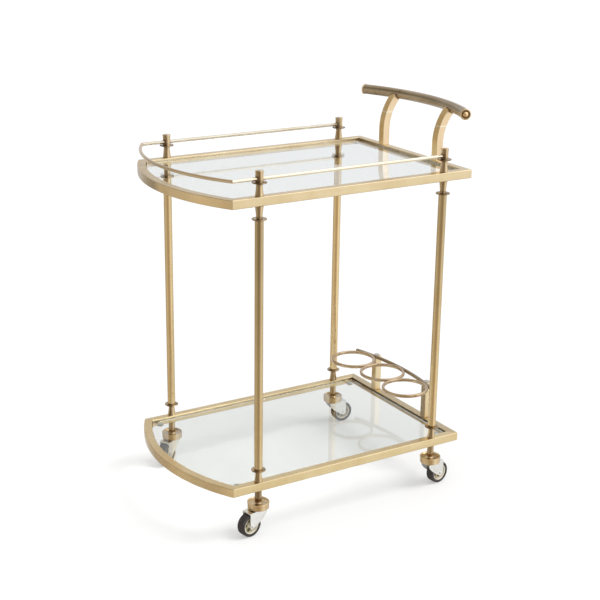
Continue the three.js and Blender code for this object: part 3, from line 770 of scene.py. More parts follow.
def buildTray(name):
    plan = TrayPlan(name)
    rail = tray["rail"]
    pieces = trayRails(plan)
    bowArc = (plan.centre, 0, plan.radius)
    roundBow = brassFinish(f"{name}_bow_brass", "round", bowArc, trayLooks[name])
    faceShade = bowShade(name, plan.centre, math.degrees(math.asin(plan.half / plan.radius)))
    bowFace = brassFinish(f"{name}_bow_face_brass", "round", bowArc, bowFaceLook, faceShade)
    railAlongX = railsAlongX[name]
    for piece, material in zip(pieces, [railAlongX, railAlongX, endAlongY, roundBow]):
        piece.data.materials.append(material)
    paintFaces(pieces[2], recessBrass, lambda face: face.normal.x < -0.9)
    bowCentre = Vector((plan.centre, 0, 0))
    # The bowed rail's inner faces get a painted shade, and its outer face painted light and shade
    for material, way in ((bowInnerShadeBrass, 1), (bowFace, -1)):
        paintFaces(pieces[3], material, lambda face: inwards(face, bowCentre) * way > 0.9)
    for corner in cornerNames:
        seat = middle(f"{name}_pad_{corner}")
        wall = math.copysign(plan.half - rail, seat.y)
        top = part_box(f"{name}_pad_{corner}")[0].z - tray["clearance"]
        bottom = top - tray["tabThickness"]
        tab = cylinder("tab", tray["tabDiameter"], bottom, top, (seat.x, seat.y))
        reach = sorted([seat.y, wall])
        halfNeck = tray["tabNeck"] / 2
        neck = cube("neck", (seat.x - halfNeck, reach[0], bottom), (seat.x + halfNeck, reach[1], top))
        carve(tab, neck, "UNION")
        tab.data.materials.append(recessBrass)
        pieces.append(tab)
    for piece in pieces:
        softenEdges(piece, tray["seamEdge"])
    rails = joinPieces(f"{name}_tray_rails", pieces)
    finishPiece(rails, "cart", "antique_brass", None, f"{name}_frame")

    low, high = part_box(f"{name}_glass")
    inset = plan.high.x - high.x
    pane = cylinder(f"{name}_glass_pane", 2 * (plan.radius - inset), low.z, high.z, (plan.centre, 0), 720)
    cutAway(pane, (high.x, 0, 0), (1, 0, 0))
    cutAway(pane, (0, high.y, 0), (0, 1, 0))
    cutAway(pane, (0, low.y, 0), (0, -1, 0))
    softenEdges(pane, tray["glassEdge"])
    finishPiece(pane, "cart", "clear_glass", clearGlass[name], f"{name}_glass")

    for corner in cornerNames:
        low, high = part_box(f"{name}_pad_{corner}")
        radius = (high.x - low.x) / 2
        pad = turn(f"{name}_glass_pad_{corner}", [(radius, low.z), (radius, high.z)], 40)
        standOn(pad, (low + high) / 2)
        softenEdges(pad, 0.0006, 3)
        finishPiece(pad, "cart", "soft_pad", softPad, f"{name}_pad_{corner}")
    print(name, "tray is built")


# A round rod that follows an arc in plan, from one angle to another about its centre
def arcRod(name, diameter, radius, centre, height, start, end, steps, segments=40):
    piece = settle(add(name, bpy.ops.mesh.primitive_circle_add, vertices=segments, radius=diameter / 2,
                       fill_type="NGON", location=(radius, 0, height), rotation=(math.pi / 2, 0, 0)))
    return sweep(piece, centre, start, end - start, steps)


def straightRod(name, diameter, start, end, segments=40):
    start, end = Vector(start), Vector(end)
    piece = cylinder(name, diameter, 0, (end - start).length, segments=segments)
    turned = (end - start).to_track_quat("Z", "Y").to_matrix().to_4x4()
    piece.data.transform(Matrix.Translation(start) @ turned)
    return piece


# Gallery: two straight rods and a bowed one, mitred over the tray's bowed corners
gallery = {"bowRise": 0.067, "seamEdge": 0.0002, "overrun": 0.03, "steps": 90}


def buildGallery():
    low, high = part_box("gallery_rail")
    diameter = high.z - low.z
    height = (low.z + high.z) / 2
    line = high.y - diameter / 2
    rise = gallery["bowRise"]
    radius = (line ** 2 + rise ** 2) / (2 * rise)
    centre = low.x + diameter / 2 + radius
    corner = low.x + diameter / 2 + rise
    reach = math.asin(line / radius)
    bow = arcRod("bow", diameter, radius, (centre, 0), height, math.pi - reach - gallery["overrun"],
                 math.pi + reach + gallery["overrun"], gallery["steps"])
    roundBow = brassFinish("gallery_bow_brass", "round", (centre, 0, radius), bowRodLook)
    rods = []
    for side in (-1, 1):
        point = Vector((corner, side * line, height))
        alongBow = Vector((-math.sin(reach), -side * math.cos(reach), 0))
        seam = (Vector((1, 0, 0)) - alongBow).normalized()
        cutAway(bow, point, seam)
        rod = straightRod("side", diameter, point - Vector((0.02, 0, 0)), (high.x, side * line, height))
        cutAway(rod, point, -seam)
        rod.data.materials.append(rodAlongX)
        rods.append(rod)
    bow.data.materials.append(roundBow)
    for rod in rods + [bow]:
        softenEdges(rod, gallery["seamEdge"])
    rail = joinPieces("gallery_rod", rods + [bow])
    finishPiece(rail, "cart", "antique_brass", None, "gallery_rail")
    print("gallery is built")


# Turned ferrules and finials: a flared foot on the rail, a cove, a thin collar with a round rim
turning = {
    "footLength": 0.0289,
    "footDiameter": 0.0198,
    "neckDiameter": 0.0146,
    "cove": 0.0018,
    "collarDiameter": 0.0345,
    "collarThickness": 0.003,
    "finialFlare": 0.0007,
    "tubeDiameter": 0.020,
    "collarHeights": (0.1604, 0.7626, 0.8444),
    "shadedSide": math.radians(-134),
    "rodHeight": 0.8527,
}


def footOutline():
    neck, foot = turning["neckDiameter"] / 2, turning["footDiameter"] / 2
    cove, length = turning["cove"], turning["footLength"]
    outline = [(foot, 0.0003), (foot, 0.0012)]
    for i in range(1, 11):
        share = i / 10
        radius = neck + (foot - neck) * (1 - share) ** 1.5
        outline.append((radius, 0.0012 + share * (length - cove - 0.0012)))
    return outline + arc((neck + cove, length - cove), cove, 180, 90, 4)[1:]


def collarOutline():
    rim, half = turning["collarDiameter"] / 2, turning["collarThickness"] / 2
    return arc((rim - half, turning["footLength"] + half), half, -90, 90, 6)


def finialOutline(top):
    body = turning["tubeDiameter"] / 2 - 0.0002
    waist = body - turning["finialFlare"]
    collarTop = turning["footLength"] + turning["collarThickness"]
    outline = footOutline() + collarOutline() + [(waist + 0.0008, collarTop), (waist, collarTop + 0.0008)]
    for i in range(6):
        share = i / 5
        outline.append((waist + (body - waist) * share ** 2, top - 0.009 + share * 0.008))
    return outline + [(body - 0.0005, top - 0.0003), (body - 0.0016, top), (0.001, top)]


def ferruleOutline():
    collarTop = turning["footLength"] + turning["collarThickness"]
    return footOutline() + collarOutline() + [(turning["tubeDiameter"] / 2 - 0.002, collarTop)]


def buildPosts():
    upper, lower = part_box("upper_frame"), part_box("lower_frame")
    rodLow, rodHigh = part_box("gallery_rail")
    rodHeight = (rodLow.z + rodHigh.z) / 2
    bore = rodHigh.z - rodLow.z + 0.0005
    for corner in cornerNames:
        centre = middle(f"post_{corner}")
        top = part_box(f"finial_{corner}")[1].z - upper[1].z
        finial = standOn(turn(f"turned_finial_{corner}", finialOutline(top)), centre, upper[1].z)
        # the rod runs on past the left finials and ends inside the right ones
        reach = 0.02
        inner = reach if corner.endswith("left") else 0.0005
        hole = straightRod("hole", bore, (centre.x - reach, centre.y, rodHeight),
                           (centre.x + inner, centre.y, rodHeight))
        carve(finial, hole)
        softenEdges(finial, 0.0002)
        streaked = brassFinish(f"turned_brass_{corner}", "turned", look=turnedLook, shade=patinaAndShade(centre))
        finishPiece(finial, "cart", "antique_brass", streaked, f"finial_{corner}")

        for end, height in (("upper", upper[0].z), ("lower", lower[1].z)):
            ferrule = turn(f"turned_{end}_ferrule_{corner}", ferruleOutline())
            standOn(ferrule, centre, height, upsideDown=end == "upper")
            softenEdges(ferrule, 0.0002)
            finishPiece(ferrule, "cart", "antique_brass", streaked, f"{end}_ferrule_{corner}")

        bottom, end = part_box(f"post_{corner}")
        radius = turning["tubeDiameter"] / 2
        tube = turn(f"post_tube_{corner}", [
            (radius - 0.0006, bottom.z - 0.0003),
            (radius, bottom.z + 0.0004),
            (radius, end.z - 0.0004),
            (radius - 0.0006, end.z + 0.0003),
        ], 72)
        standOn(tube, centre)
        softenEdges(tube, 0.0001)
        postBrass = brassFinish(f"post_brass_{corner}", "z", look=postLook, shade=postShade(corner, centre))
        finishPiece(tube, "cart", "antique_brass", postBrass, f"post_{corner}")
    print("posts, ferrules and finials are built")


# Push handle: a bowed round grip, two bent square arms coped to it, and turned end caps
handle = {
    "gripDiameter": 0.025,
    "gripRadius": 0.495,
    "gripHalfLength": 0.211,
    "armBend": 0.120,
    "armSeat": 0.0105,
    "weld": (0.0021, 0.0085, 0.0021),
}
# A painted highlight in a band across the arms
armHighlightBand = {"height": 0.899, "width": 0.0028, "strength": 0.75, "tone": (1.0, 0.93, 0.80)}
capOutline = [
    (0.0101, -0.001), (0.0123, 0.0001), (0.0129, 0.0004), (0.0135, 0.0010), (0.0135, 0.0026),
    (0.0129, 0.0032), (0.0117, 0.0035), (0.0104, 0.0034), (0.0099, 0.0030), (0.0096, 0.0022),
    (0.0071, 0.0022), (0.0066, 0.0030), (0.0060, 0.0036), (0.0048, 0.0044), (0.0033, 0.0050),
    (0.0016, 0.0054), (0.0003, 0.0055),
]


# A bead of weld, longest along its middle size
def weldBead(name, place, size, turned=0, rings=12):
    bead = add(name, bpy.ops.mesh.primitive_uv_sphere_add, segments=24, ring_count=rings, radius=1)
    bead.scale = size
    bead.rotation_euler.z = turned
    bead.location = place
    return settle(bead)


def reachOf(face):
    return math.hypot(face.center.x, face.center.y)


# A square arm on the end rail, bent outwards on an arc and coped to the grip that it meets
def buildArm(name, grip, gripArc, material, paintedSideMaterial):
    centre, gripRadius, height = gripArc
    low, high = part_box(f"handle_arm_{name}")
    width = high.y - low.y
    x, y = low.x + width / 2, (low.y + high.y) / 2
    radius = handle["armBend"]
    gripX = centre + math.sqrt(gripRadius ** 2 - y ** 2)
    bend = math.acos(1 - (gripX - x) / radius)
    stop = bend - handle["armSeat"] / radius
    bendStart = height - radius * math.sin(bend)
    arm = uprightSection(width, width, tray["edgeRadius"], (0, 0, 0), 4)
    arm.rotation_euler.x = -math.pi / 2
    settle(arm)
    arm.location = (x, y, low.z)
    settle(arm)
    arm.name = f"bent_arm_{name}"
    startEdit(arm)
    bpy.ops.mesh.extrude_region_move(TRANSFORM_OT_translate={"value": (0, 0, bendStart - low.z)})
    bpy.ops.mesh.spin(steps=40, angle=-stop, center=(x + radius, y, bendStart), axis=(0, 1, 0))
    closeSkin()
    carve(arm, grip, keepTool=True)
    softenEdges(arm, 0.0004)
    finishPiece(arm, "cart", "antique_brass", material, f"handle_arm_{name}")
    along = Vector((math.sin(stop), 0, math.cos(stop)))
    across = Vector((-along.z, 0, along.x))
    end = Vector((x + radius * (1 - math.cos(stop)), y, bendStart + radius * math.sin(stop)))
    # The left faces take the warmer copy, painted light for that side
    paintFaces(arm, paintedSideMaterial, lambda face: face.normal.x < -0.55)
    # The coped end against the grip is painted dark steel, a painted shade
    paintFaces(arm, bearingSteelAndShade,
               lambda face: face.normal.dot(along) > 0.6 and (face.center - end).length < 0.02)
    corner = end + across * (width / 2 - 0.0012) + along * 0.0006
    weld = weldBead("arm_weld", corner, handle["weld"], rings=16)
    bpy.ops.object.shade_smooth()
    finishPiece(weld, "cart", "antique_brass", material)


def buildCap(name, end, outward):
    cap = turn(f"turned_grip_cap_{name}", capOutline)
    cap.data.materials.append(capBrass)
    paintFaces(cap, grooveBrass, lambda face: face.center.z > 0 and 0.0062 < reachOf(face) < 0.0102)
    paintFaces(cap, knobBrass, lambda face: face.center.z > 0 and reachOf(face) < 0.0062)
    turned = outward.to_track_quat("Z", "Y").to_matrix().to_4x4()
    cap.data.transform(Matrix.Translation(end) @ turned)
    softenEdges(cap, 0.00015)
    finishPiece(cap, "cart", "dark_brass", None, f"handle_cap_{name}")


def buildHandle():
    low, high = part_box("handle_bar")
    half, radius = handle["gripDiameter"] / 2, handle["gripRadius"]
    centre = high.x - half - radius
    height = (low.z + high.z) / 2
    reach = math.asin(handle["gripHalfLength"] / radius)
    grip = arcRod("handle_grip", 2 * half, radius, (centre, 0), height, -reach, reach, 110, 80)
    softenEdges(grip, 0.0005)
    along = (centre, 0, radius, height)
    gripBrass = brassFinish("grip_brass", "grip", along, gripLook, gripShade(along))
    gripArc = (centre, radius, height)
    shade = armShade(gripArc)
    armBrass = brassFinish("arm_brass", "z", look=armLook, shade=shade, highlightBand=armHighlightBand)
    armPaintedSideBrass = brassFinish("arm_painted_side_brass", "z", look=armPaintedSideLook, shade=shade, highlightBand=armHighlightBand)
    for side, name in ((-1, "front"), (1, "back")):
        buildArm(name, grip, gripArc, armBrass, armPaintedSideBrass)
        end = Vector((centre + radius * math.cos(reach), side * handle["gripHalfLength"], height))
        buildCap(name, end, Vector((-math.sin(reach), side * math.cos(reach), 0)))
    finishPiece(grip, "cart", "dark_brass", gripBrass, "handle_bar")
    print("handle is built")


# Bottle rack: two short legs with domed caps, a bowed strip let into them and three welded rings
rack = {
    "stripRadius": 0.650,
    "stripHalfLength": 0.178,
    "stripWidth": 0.008,
    "stripEdge": 0.0014,
    "ringBar": (0.007, 0.0084),
    "ringEdge": 0.0027,
    "dome": 0.004,
    "weld": (0.0032, 0.0042, 0.0022),
}
domeOutline = [(0.966, 0), (1, 0.0003), (1, 0.0009), (0.97, 0.0014), (0.88, 0.0022), (0.70, 0.0031),
               (0.45, 0.0037), (0.15, rack["dome"])]


def buildRack():
    stripLow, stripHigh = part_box("rack_strip")
    width, height = rack["stripWidth"], stripHigh.z - stripLow.z
    radius = rack["stripRadius"]
    centre = stripHigh.x - width / 2 - radius
    level = (stripLow.z + stripHigh.z) / 2
    reach = math.asin(rack["stripHalfLength"] / radius)
    strip = uprightSection(width, height, rack["stripEdge"], (radius, 0, level), 3)
    strip.name = "bowed_rack_strip"
    sweep(strip, (centre, 0), -reach, 2 * reach, 80)
    softenEdges(strip, 0.0004)

    for name in ("front", "back"):
        low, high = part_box(f"rack_leg_{name}")
        shoulder = high.z - rack["dome"]
        leg = roundedTube(f"square_leg_{name}", low, (high.x, high.y, shoulder), tray["edgeRadius"])
        carve(leg, strip, keepTool=True)
        softenEdges(leg, 0.0004)
        edge = (high.x - low.x) / 2 - 0.0006
        outline = [(edge * share, shoulder + rise) for share, rise in domeOutline]
        dome = turn(f"leg_cap_{name}", outline, 48)
        standOn(dome, (low + high) / 2)
        softenEdges(dome, 0.0001)
        finishPiece(leg, "cart", "antique_brass", legBrass, f"rack_leg_{name}")
        # The front leg's left face takes the strip's darker brass, a painted shade
        if name == "front":
            paintFaces(leg, stripBrassAndLegShade, lambda face: face.normal.x < -0.7)
        finishPiece(dome, "cart", "soft_pad", greyCap)
    finishPiece(strip, "cart", "antique_brass", stripBrassAndLegShade, "rack_strip")

    centres = []
    for name in ("front", "middle", "back"):
        low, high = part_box(f"rack_ring_{name}")
        outer = (high.x - low.x) / 2
        place = (low + high) / 2
        barWidth, barHeight = rack["ringBar"]
        ring = uprightSection(barWidth, barHeight, rack["ringEdge"], (outer - barWidth / 2, 0, 0), 4)
        sweep(ring, (0, 0), 0, 2 * math.pi, 128)
        ring.data.transform(Matrix.Translation(place))
        ring.name = f"bottle_ring_{name}"
        pick(ring)
        bpy.ops.object.shade_smooth_by_angle(angle=math.radians(30))
        finishPiece(ring, "cart", "antique_brass", ringBrass, f"rack_ring_{name}")
        centres.append((place, outer))
    beads = []
    for place, outer in centres:
        way = (place - Vector((centre, 0, place.z))).normalized()
        touch = place + way * outer - Vector((0, 0, 0.001))
        beads.append(weldBead("weld", touch, rack["weld"], math.atan2(way.y, way.x)))
    for (first, outer), (second, _) in zip(centres, centres[1:]):
        way = second - first
        beads.append(weldBead("weld", (first + second) / 2, rack["weld"], math.atan2(way.y, way.x)))
    welds = joinPieces("rack_welds", beads)
    pick(welds)
    bpy.ops.object.shade_smooth()
    finishPiece(welds, "cart", "antique_brass", ringBrass)
    print("bottle rack is built")


# Casters, each made once about its swivel axis with the wheel trailing along +X, then copied
caster = {
    "trail": 0.028,
    "wheelRadius": 0.028,
    "crownTop": 0.062,
    "crown": 0.003,
    "cheekHalf": 0.0143,
    "cheek": 0.0024,
    "shoulder": 0.016,
    "boss": 0.0075,
    "backMeetsBoss": 240.1606,
    "pressed": 0.0003,
    "cupLow": 0.0635,
    "cupHigh": 0.0795,
    "cupRadius": 0.0262,
    "cupFoot": 0.0256,
    "cupDish": 0.003,
    "stubRadius": 0.0083,
    "stubFillet": 0.004,
    "raceRadius": 0.0218,
    "axleRadius": 0.0035,
    "headRadius": 0.0047,
    "nutDiameter": 0.0094,
    "tipDiameter": 0.0048,
}
wheel = {
    "bore": 0.0036,
    "hub": 0.007,
    "lip": 0.0184,
    "rim": 0.0211,
    "web": 0.002,
    "windows": 5,
    "windowDiameter": 0.0096,
    "windowOrbit": 0.0127,
    "shadowSheet": 0.0002,
}
tyre = {"bore": 0.0213, "half": 0.011, "grooves": (-0.0044, 0, 0.0044), "grooveDepth": 0.0007}


def makeCup(railBottom):
    low, high, rim = caster["cupLow"], caster["cupHigh"], caster["cupRadius"]
    foot, dish = caster["cupFoot"], caster["cupDish"]
    stub, fillet = caster["stubRadius"], caster["stubFillet"]
    outline = [(0.012, low), (foot - 0.0012, low), (foot - 0.0004, low + 0.0004), (foot, low + 0.0012),
               (rim - 0.0004, high - 0.005), (rim, high - 0.0042), (rim, high - 0.0008),
               (rim - 0.0003, high - 0.0002), (rim - 0.0010, high), (rim - 0.0018, high - 0.0002),
               (rim - 0.0024, high - 0.0009), (rim - 0.0032, high - dish)]
    outline += arc((stub + fillet, high - dish + fillet), fillet, 270, 180, 6)
    outline += [(stub, railBottom - 0.0003)]
    return softenEdges(turn("cup", outline, 72), 0.00025)


def makeRace():
    low, high, radius = caster["crownTop"] - 0.0004, caster["cupLow"] + 0.0001, caster["raceRadius"]
    outline = [(radius - 0.001, low), (radius, low + 0.0006), (radius - 0.0012, (low + high) / 2),
               (radius, high - 0.0006), (radius - 0.001, high)]
    return softenEdges(turn("race", outline, 64), 0.0001)


# One side of the fork: specks along its outline, drawn out to its thickness and wrapped in a hull
def makeCheek():
    trail, axle, boss = caster["trail"], caster["wheelRadius"], caster["boss"]
    top = caster["crownTop"] - caster["crown"] / 2
    bossEdge = arc((trail, axle), boss, caster["backMeetsBoss"], 360, 10)
    meetX, meetZ = bossEdge[0]
    back = -caster["shoulder"]
    points = []
    for i in range(9):
        t = i / 8
        points.append(((1 - t * t) * back + t * t * meetX,
                       (1 - t) ** 2 * top + t * (1 - t) * (top + axle) + t * t * meetZ))
    points += bossEdge[1:]
    speck = 0.0002
    topFront = (trail + boss, 0, top)
    piece = settle(add("cheek", bpy.ops.mesh.primitive_plane_add, size=speck, location=topFront))
    startEdit(piece)
    for x, z in points:
        bpy.ops.mesh.primitive_plane_add(size=speck, location=(x, 0, z))
    bpy.ops.mesh.select_all(action="SELECT")
    bpy.ops.mesh.extrude_region_move(TRANSFORM_OT_translate={"value": (0, caster["cheek"], 0)})
    wrapInHull()
    return piece


# The pressed panel stands out of the cheek's outer face
def pressPanel(piece):
    outermost = max(piece.data.polygons, key=lambda face: face.center.y).index
    pick(piece)
    bpy.ops.object.mode_set(mode="EDIT")
    bpy.ops.mesh.select_mode(type="FACE")
    bpy.ops.mesh.select_all(action="DESELECT")
    endEdit()
    for face in piece.data.polygons:
        face.select = face.index == outermost
    bpy.ops.object.mode_set(mode="EDIT")
    bpy.ops.mesh.inset(thickness=0.0026, depth=0)
    bpy.ops.mesh.inset(thickness=0.0014, depth=caster["pressed"])
    bpy.ops.mesh.select_mode(type="VERT")
    endEdit()


def insideFork(place):
    inner = caster["cheekHalf"] - caster["cheek"] + 0.0003
    return abs(place.y) < inner and place.z < caster["crownTop"] - 0.002


def makeFork():
    half, thickness, top = caster["cheekHalf"], caster["cheek"], caster["crownTop"]
    front = caster["trail"] + caster["boss"]
    crown = cylinder("fork", 2 * half, top - caster["crown"], top, (half - caster["shoulder"] - 0.002, 0), 64)
    startEdit(crown)
    bpy.ops.mesh.primitive_cube_add(size=1, location=(front - 0.005, 0, top - caster["crown"] / 2),
                                    scale=(0.01, 2 * half, caster["crown"]))
    wrapInHull()
    near = makeCheek()
    pressPanel(near)
    far = copyPiece(near, "far", Matrix.Scale(-1, 4, (0, 1, 0)))
    startEdit(far)
    closeSkin()
    near.data.transform(Matrix.Translation((0, half - thickness, 0)))
    far.data.transform(Matrix.Translation((0, thickness - half, 0)))
    carve(crown, near, "UNION")
    carve(crown, far, "UNION")
    crown.data.materials.clear()
    crown.data.materials.append(chromePlate)
    softenEdges(crown, 0.0007, 3, 40)
    paintFaces(crown, dullPlate, lambda face: insideFork(face.center))
    return crown


# Across the wheel: a solid turned about Z is laid along Y, at the axle
def layAcross(piece):
    across = Matrix.Rotation(-math.pi / 2, 4, "X")
    piece.data.transform(Matrix.Translation((caster["trail"], 0, caster["wheelRadius"])) @ across)
    return piece


def makeAxle():
    face, pin, head = caster["cheekHalf"], caster["axleRadius"], caster["headRadius"]
    axle = turn("axle", [
        (pin, -face), (pin, face), (head, face + 0.0002), (head, face + 0.0009),
        (head - 0.0004, face + 0.0016), (head - 0.0015, face + 0.0022), (head - 0.0035, face + 0.0025),
    ], 40)
    nut = cylinder("nut", caster["nutDiameter"], -face - 0.0024, -face - 0.0002, segments=6)
    tip = cylinder("tip", caster["tipDiameter"], -face - 0.0025, -face, segments=28)
    for piece in (axle, nut, tip):
        softenEdges(piece, 0.0003)
    return layAcross(joinPieces("axle", [axle, nut, tip]))


# One side's outline, then the same on the other side
def bothSides(side, between=()):
    return side + list(between) + [(radius, -height) for radius, height in reversed(side)]


# The moulded centre: hub, web and rim; its round windows are closed halfway in by a thin sheet painted as
# shadow, and the web round them is painted with shade
def makeWheel():
    bore, hub, lip, rim = wheel["bore"], wheel["hub"], wheel["lip"], wheel["rim"]
    web, shadowSheet = wheel["web"], wheel["shadowSheet"]
    centre = turn("wheel", bothSides([
        (bore, -0.0116), (hub - 0.0005, -0.0116), (hub, -0.0111), (hub, -web - 0.0006), (hub + 0.0006, -web),
        (lip - 0.0010, -web), (lip - 0.0002, -web - 0.0006), (lip, -0.0060), (lip + 0.0006, -0.0090),
        (rim - 0.0005, -0.0094), (rim, -0.0090),
    ]), 96)
    centre.data.materials.append(wheelMoulding)
    for at in arc((0, 0), wheel["windowOrbit"], 0, 360, wheel["windows"])[:-1]:
        for low, high in ((-0.005, -shadowSheet), (shadowSheet, 0.005)):
            carve(centre, cylinder("window", wheel["windowDiameter"], low, high, at, 32))
    softenEdges(centre, 0.00025)
    # Painted shade on the web and a painted shadow on the sheets in the windows
    paintFaces(centre, wheelWellShade, lambda face: abs(face.center.z) < web + 0.0003)
    paintFaces(centre, wheelShadow, lambda face: abs(face.center.z) < web - 0.0003)
    return layAcross(centre)


# The tyre's section: a bead on the rim, round shoulders and three grooves round the tread
def makeTyre():
    outer, bore, half = caster["wheelRadius"], tyre["bore"], tyre["half"]
    bottom = outer - tyre["grooveDepth"]
    tread = []
    for groove in tyre["grooves"]:
        tread += [(outer, groove - 0.0007), (bottom, groove - 0.0004), (bottom, groove + 0.0004),
                  (outer, groove + 0.0007)]
    outline = bothSides([
        (bore, 0.0012 - half), (bore + 0.0006, 0.0003 - half), (bore + 0.0014, -half),
        (outer - 0.0022, -half), (outer - 0.0011, 0.0005 - half), (outer - 0.0003, 0.0015 - half),
        (outer, 0.0030 - half),
    ], tread)
    return layAcross(softenEdges(turnRing("tyre", outline, 112), 0.00018))


def buildCasters():
    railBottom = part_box("lower_frame")[0].z
    joints = {joint["name"]: joint for joint in frame["joints"]}
    patterns = {
        "cup": (makeCup(railBottom), "cart", "antique_brass", None, "caster_cup"),
        "race": (makeRace(), "swivel", "chrome", bearingSteelAndShade, None),
        "fork": (makeFork(), "swivel", "chrome", None, "caster_fork"),
        "axle": (makeAxle(), "swivel", "chrome", chromePlate, "caster_axle"),
        "wheel": (makeWheel(), "wheel", "wheel_rim", None, "wheel"),
        "tyre": (makeTyre(), "wheel", "tyre_rubber", tyreRubber, "tyre"),
    }
    for corner in cornerNames:
        post = joints[f"caster_swivel_{corner}"]["pos_m"]
        axle = joints[f"wheel_spin_{corner}"]["axis"]
        heading = math.atan2(-axle[0], axle[1])
        place = Matrix.Translation((post[0], post[1], 0)) @ Matrix.Rotation(heading, 4, "Z")
        for part, (pattern, body, slotName, material, node) in patterns.items():
            piece = copyPiece(pattern, f"caster_{part}_{corner}_fine", place)
            if part == "cup":
                shade = cupShade(corner, Vector(post))
                material = brassFinish(f"cup_brass_{corner}", "turned", look=turnedLook, shade=shade)
            rides = body if body == "cart" else f"{body}_{corner}"
            nodes = [f"{node}_{corner}"] if node else []
            finishPiece(piece, rides, slotName, material, *nodes)
    for pattern, *_ in patterns.values():
        bpy.data.objects.remove(pattern)
    print("casters are built")


railsAlongX = {
    "upper": brassFinish("upper_rail_brass_along_x", "x", shade=railShade),
    "lower": brassFinish("lower_rail_brass_along_x", "x", look=lowerRailLook, shade=railShade),
}
endAlongY = brassFinish("end_brass_along_y", "y", shade=endShade)
recessBrass = brassFinish("recess_brass", "y", shade=recessShade)
# The bowed rails' inner faces: very dark painted shade
bowInnerShadeBrass = brassFinish("bow_inner_shade_brass", "z", shade=lambda finish: 0.16 + recessShade(finish) * 0.3)
stripBrassAndLegShade = brassFinish("strip_brass_and_leg_shade", "y", look=stripLook)
legBrass = brassFinish("leg_brass", "z")
ringBrass = brassFinish("ring_brass", "turned", look=ringLook)
rodAlongX = brassFinish("rod_brass", "x", look=rodLook, shade=rodShade)
capBrass = brassFinish("cap_brass", "turned", look=capLook)
grooveBrass = brassFinish("cap_groove_brass", "turned", look=grooveLook)
knobBrass = brassFinish("cap_knob_brass", "turned", look=knobLook)
chromePlate = chromeFinish()
dullPlate = plainFinish("dull_plate")
bearingSteelAndShade = plainFinish("bearing_steel_and_shade")
tyreRubber = plainFinish("tyre_rubber")
wheelMoulding = plainFinish("wheel_moulding")
wheelWellShade = plainFinish("wheel_well_shade")
wheelShadow = plainFinish("wheel_shadow")
softPad = plainFinish("soft_pad")
greyCap = plainFinish("grey_cap")
# The lower pane is tinted darker, a painted shade for the floor seen through it
clearGlass = {
    "upper": glassFinish("upper", (0.825, 0.845, 0.825), 1.42),
    "lower": glassFinish("lower", (0.78, 0.795, 0.775), 1.35),
}

buildTray("upper")
buildTray("lower")
buildGallery()
buildPosts()
buildHandle()
buildRack()
buildCasters()


# Studio: a white floor, a soft sun from the right, and surroundings for the metal to mirror
studio = {
    "floorSize": 60,
    "floorWhite": 0.82,
    "seenWhite": 0.60,
    "seenGlow": 0.36,
    "ambient": 0.80,
    "sun": 1.55,
    "sunSpread": 28,
    "sunFrom": (0.80, -0.42, 1.1),
}
# What the metal mirrors, by compass angle: camera side, right, behind and left, warm where it is dim
lowSurroundings = [
    (-180, (0.66, 0.62, 0.54)),
    (-165, (0.62, 0.57, 0.48)),
    (-145, (0.53, 0.47, 0.37)),
    (-128, (0.48, 0.395, 0.285)),
    (-112, (0.49, 0.41, 0.305)),
    (-96, (0.60, 0.53, 0.43)),
    (-77, (0.88, 0.86, 0.82)),
    (-58, (1.04, 1.06, 1.05)),
    (-40, (0.94, 0.94, 0.92)),
    (-15, (0.70, 0.68, 0.64)),
    (-5, (1.20, 1.17, 1.10)),
    (5, (0.62, 0.60, 0.56)),
    (25, (0.56, 0.54, 0.50)),
    (58, (0.74, 0.76, 0.80)),
    (75, (0.86, 0.90, 0.98)),
    (90, (0.66, 0.68, 0.72)),
    (105, (0.42, 0.41, 0.40)),
    (122, (0.46, 0.42, 0.36)),
    (138, (0.60, 0.55, 0.46)),
    (160, (0.70, 0.66, 0.57)),
]
highSurroundings = [
    (-180, (0.42, 0.37, 0.30)),
    (-122, (0.42, 0.38, 0.31)),
    (-90, (1.10, 1.12, 1.15)),
    (-58, (1.55, 1.60, 1.70)),
    (-20, (1.20, 1.22, 1.25)),
    (25, (0.76, 0.77, 0.80)),
    (58, (0.77, 0.79, 0.84)),
    (85, (0.60, 0.60, 0.60)),
    (122, (0.44, 0.41, 0.36)),
    (150, (0.42, 0.38, 0.31)),
]
overheadSurroundings = [
    (-180, (0.50, 0.46, 0.40)),
    (-122, (0.75, 0.73, 0.70)),
    (-90, (1.30, 1.32, 1.35)),
    (-50, (1.70, 1.75, 1.85)),
    (0, (1.60, 1.62, 1.70)),
    (40, (1.10, 1.10, 1.12)),
    (70, (0.70, 0.68, 0.66)),
    (95, (0.48, 0.45, 0.40)),
    (150, (0.44, 0.40, 0.33)),
]


def buildFloor():
    floor = add("studio_floor", bpy.ops.mesh.primitive_plane_add, size=studio["floorSize"])
    finish = Finish("studio_floor")
    white, seen = studio["floorWhite"], studio["seenWhite"]
    lit = finish.value("ShaderNodeBsdfDiffuse", 0, None, {"Color": (white, white, white, 1)})
    ground = finish.value("ShaderNodeBsdfDiffuse", 0, None, {"Color": (seen, seen, seen, 1)})
    glowing = {"Color": (1, 1, 1, 1), "Strength": studio["seenGlow"]}
    glow = finish.value("ShaderNodeEmission", 0, None, glowing)
    plain = finish.value("ShaderNodeAddShader", 0, None, {0: ground, 1: glow})
    path = finish.node("ShaderNodeLightPath")
    camera, through = (Value(finish, path.outputs[name]) for name in ("Is Camera Ray", "Is Transmission Ray"))
    looked = camera.maths("MAXIMUM", camera, through)
    finish.output(finish.value("ShaderNodeMixShader", 0, None, {0: looked, 1: lit, 2: plain}))
    floor.data.materials.append(finish.material)
    floor.visible_glossy = False


def buildSun():
    data = bpy.data.lights.new("sun", "SUN")
    data.energy = studio["sun"]
    data.angle = math.radians(studio["sunSpread"])
    lamp = bpy.data.objects.new("sun", data)
    bpy.context.scene.collection.objects.link(lamp)
    lamp.rotation_euler = Vector(studio["sunFrom"]).to_track_quat("Z", "Y").to_euler()
    lamp.visible_glossy = False


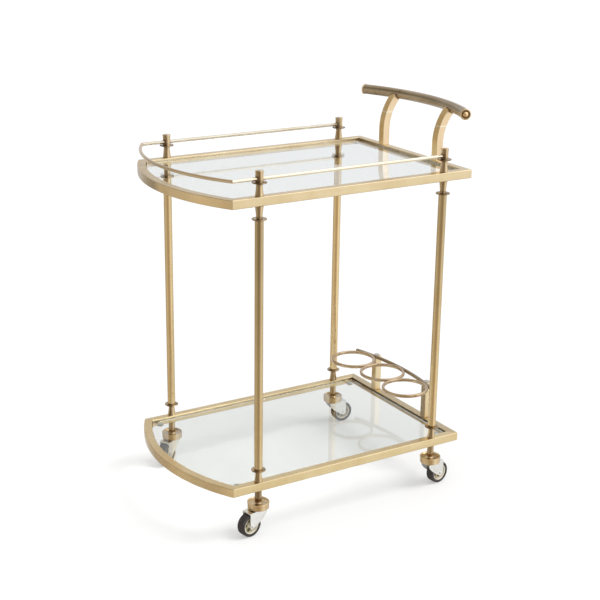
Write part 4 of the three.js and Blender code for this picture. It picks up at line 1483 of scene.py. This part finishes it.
def compass(finish, angle, surroundings):
    stops = [((degrees + 180) / 360, colour) for degrees, colour in surroundings]
    stops.append((1.0, surroundings[0][1]))
    return finish.value("ShaderNodeValToRGB", 0, {"stops": stops}, {"Fac": angle})


def buildWorld():
    world = bpy.data.worlds.new("studio")
    bpy.context.scene.world = world
    world.use_nodes = True
    finish = Finish("", world.node_tree)
    way = finish.node("ShaderNodeSeparateXYZ", None, {0: finish.value("ShaderNodeTexCoord", "Generated")})
    x, y, z = (Value(finish, way.outputs[i]) for i in range(3))
    angle = y.maths("ARCTAN2", y, x) / (2 * math.pi) + 0.5
    sides = finish.blend(finish.spread(z, -0.15, 0.25), compass(finish, angle, lowSurroundings),
                         compass(finish, angle, highSurroundings))
    overhead = finish.blend(finish.spread(z, 0.45, 0.7), sides, compass(finish, angle, overheadSurroundings))
    around = finish.blend(finish.spread(z, -0.5, -0.95), overhead, (0.42, 0.37, 0.30))
    path = finish.node("ShaderNodeLightPath")
    names = ("Is Glossy Ray", "Is Camera Ray", "Is Transmission Ray")
    glossy, camera, through = (Value(finish, path.outputs[name]) for name in names)
    level = studio["ambient"]
    colour = finish.blend(glossy, (level, level, level), around)
    colour = finish.blend(camera.maths("MAXIMUM", camera, through), colour, (1, 1, 1))
    background = finish.value("ShaderNodeBackground", 0, None, {"Color": colour, "Strength": 1.0})
    finish.node("ShaderNodeOutputWorld", None, {"Surface": background})


buildFloor()
buildWorld()
buildSun()
print("studio is lit")

# The camera, a long lens from the front left and above
view = {
    "place": (-1.6320, -2.6327, 1.4893),
    "right": (0.8519, -0.5236, 0.0131),
    "up": (0.1529, 0.2726, 0.9499),
    "lens": 78.58,
}
cameraData = bpy.data.cameras.new("camera")
cameraData.lens = view["lens"]
cameraData.sensor_width = 36
cameraData.clip_end = 100
camera = bpy.data.objects.new("camera", cameraData)
bpy.context.scene.collection.objects.link(camera)
right = Vector(view["right"]).normalized()
up = Vector(view["up"])
up = (up - right * up.dot(right)).normalized()
back = right.cross(up)
camera.matrix_world = Matrix.Translation(view["place"]) @ Matrix((right, up, back)).transposed().to_4x4()
bpy.context.scene.camera = camera
bpy.context.scene.view_settings.view_transform = "Standard"
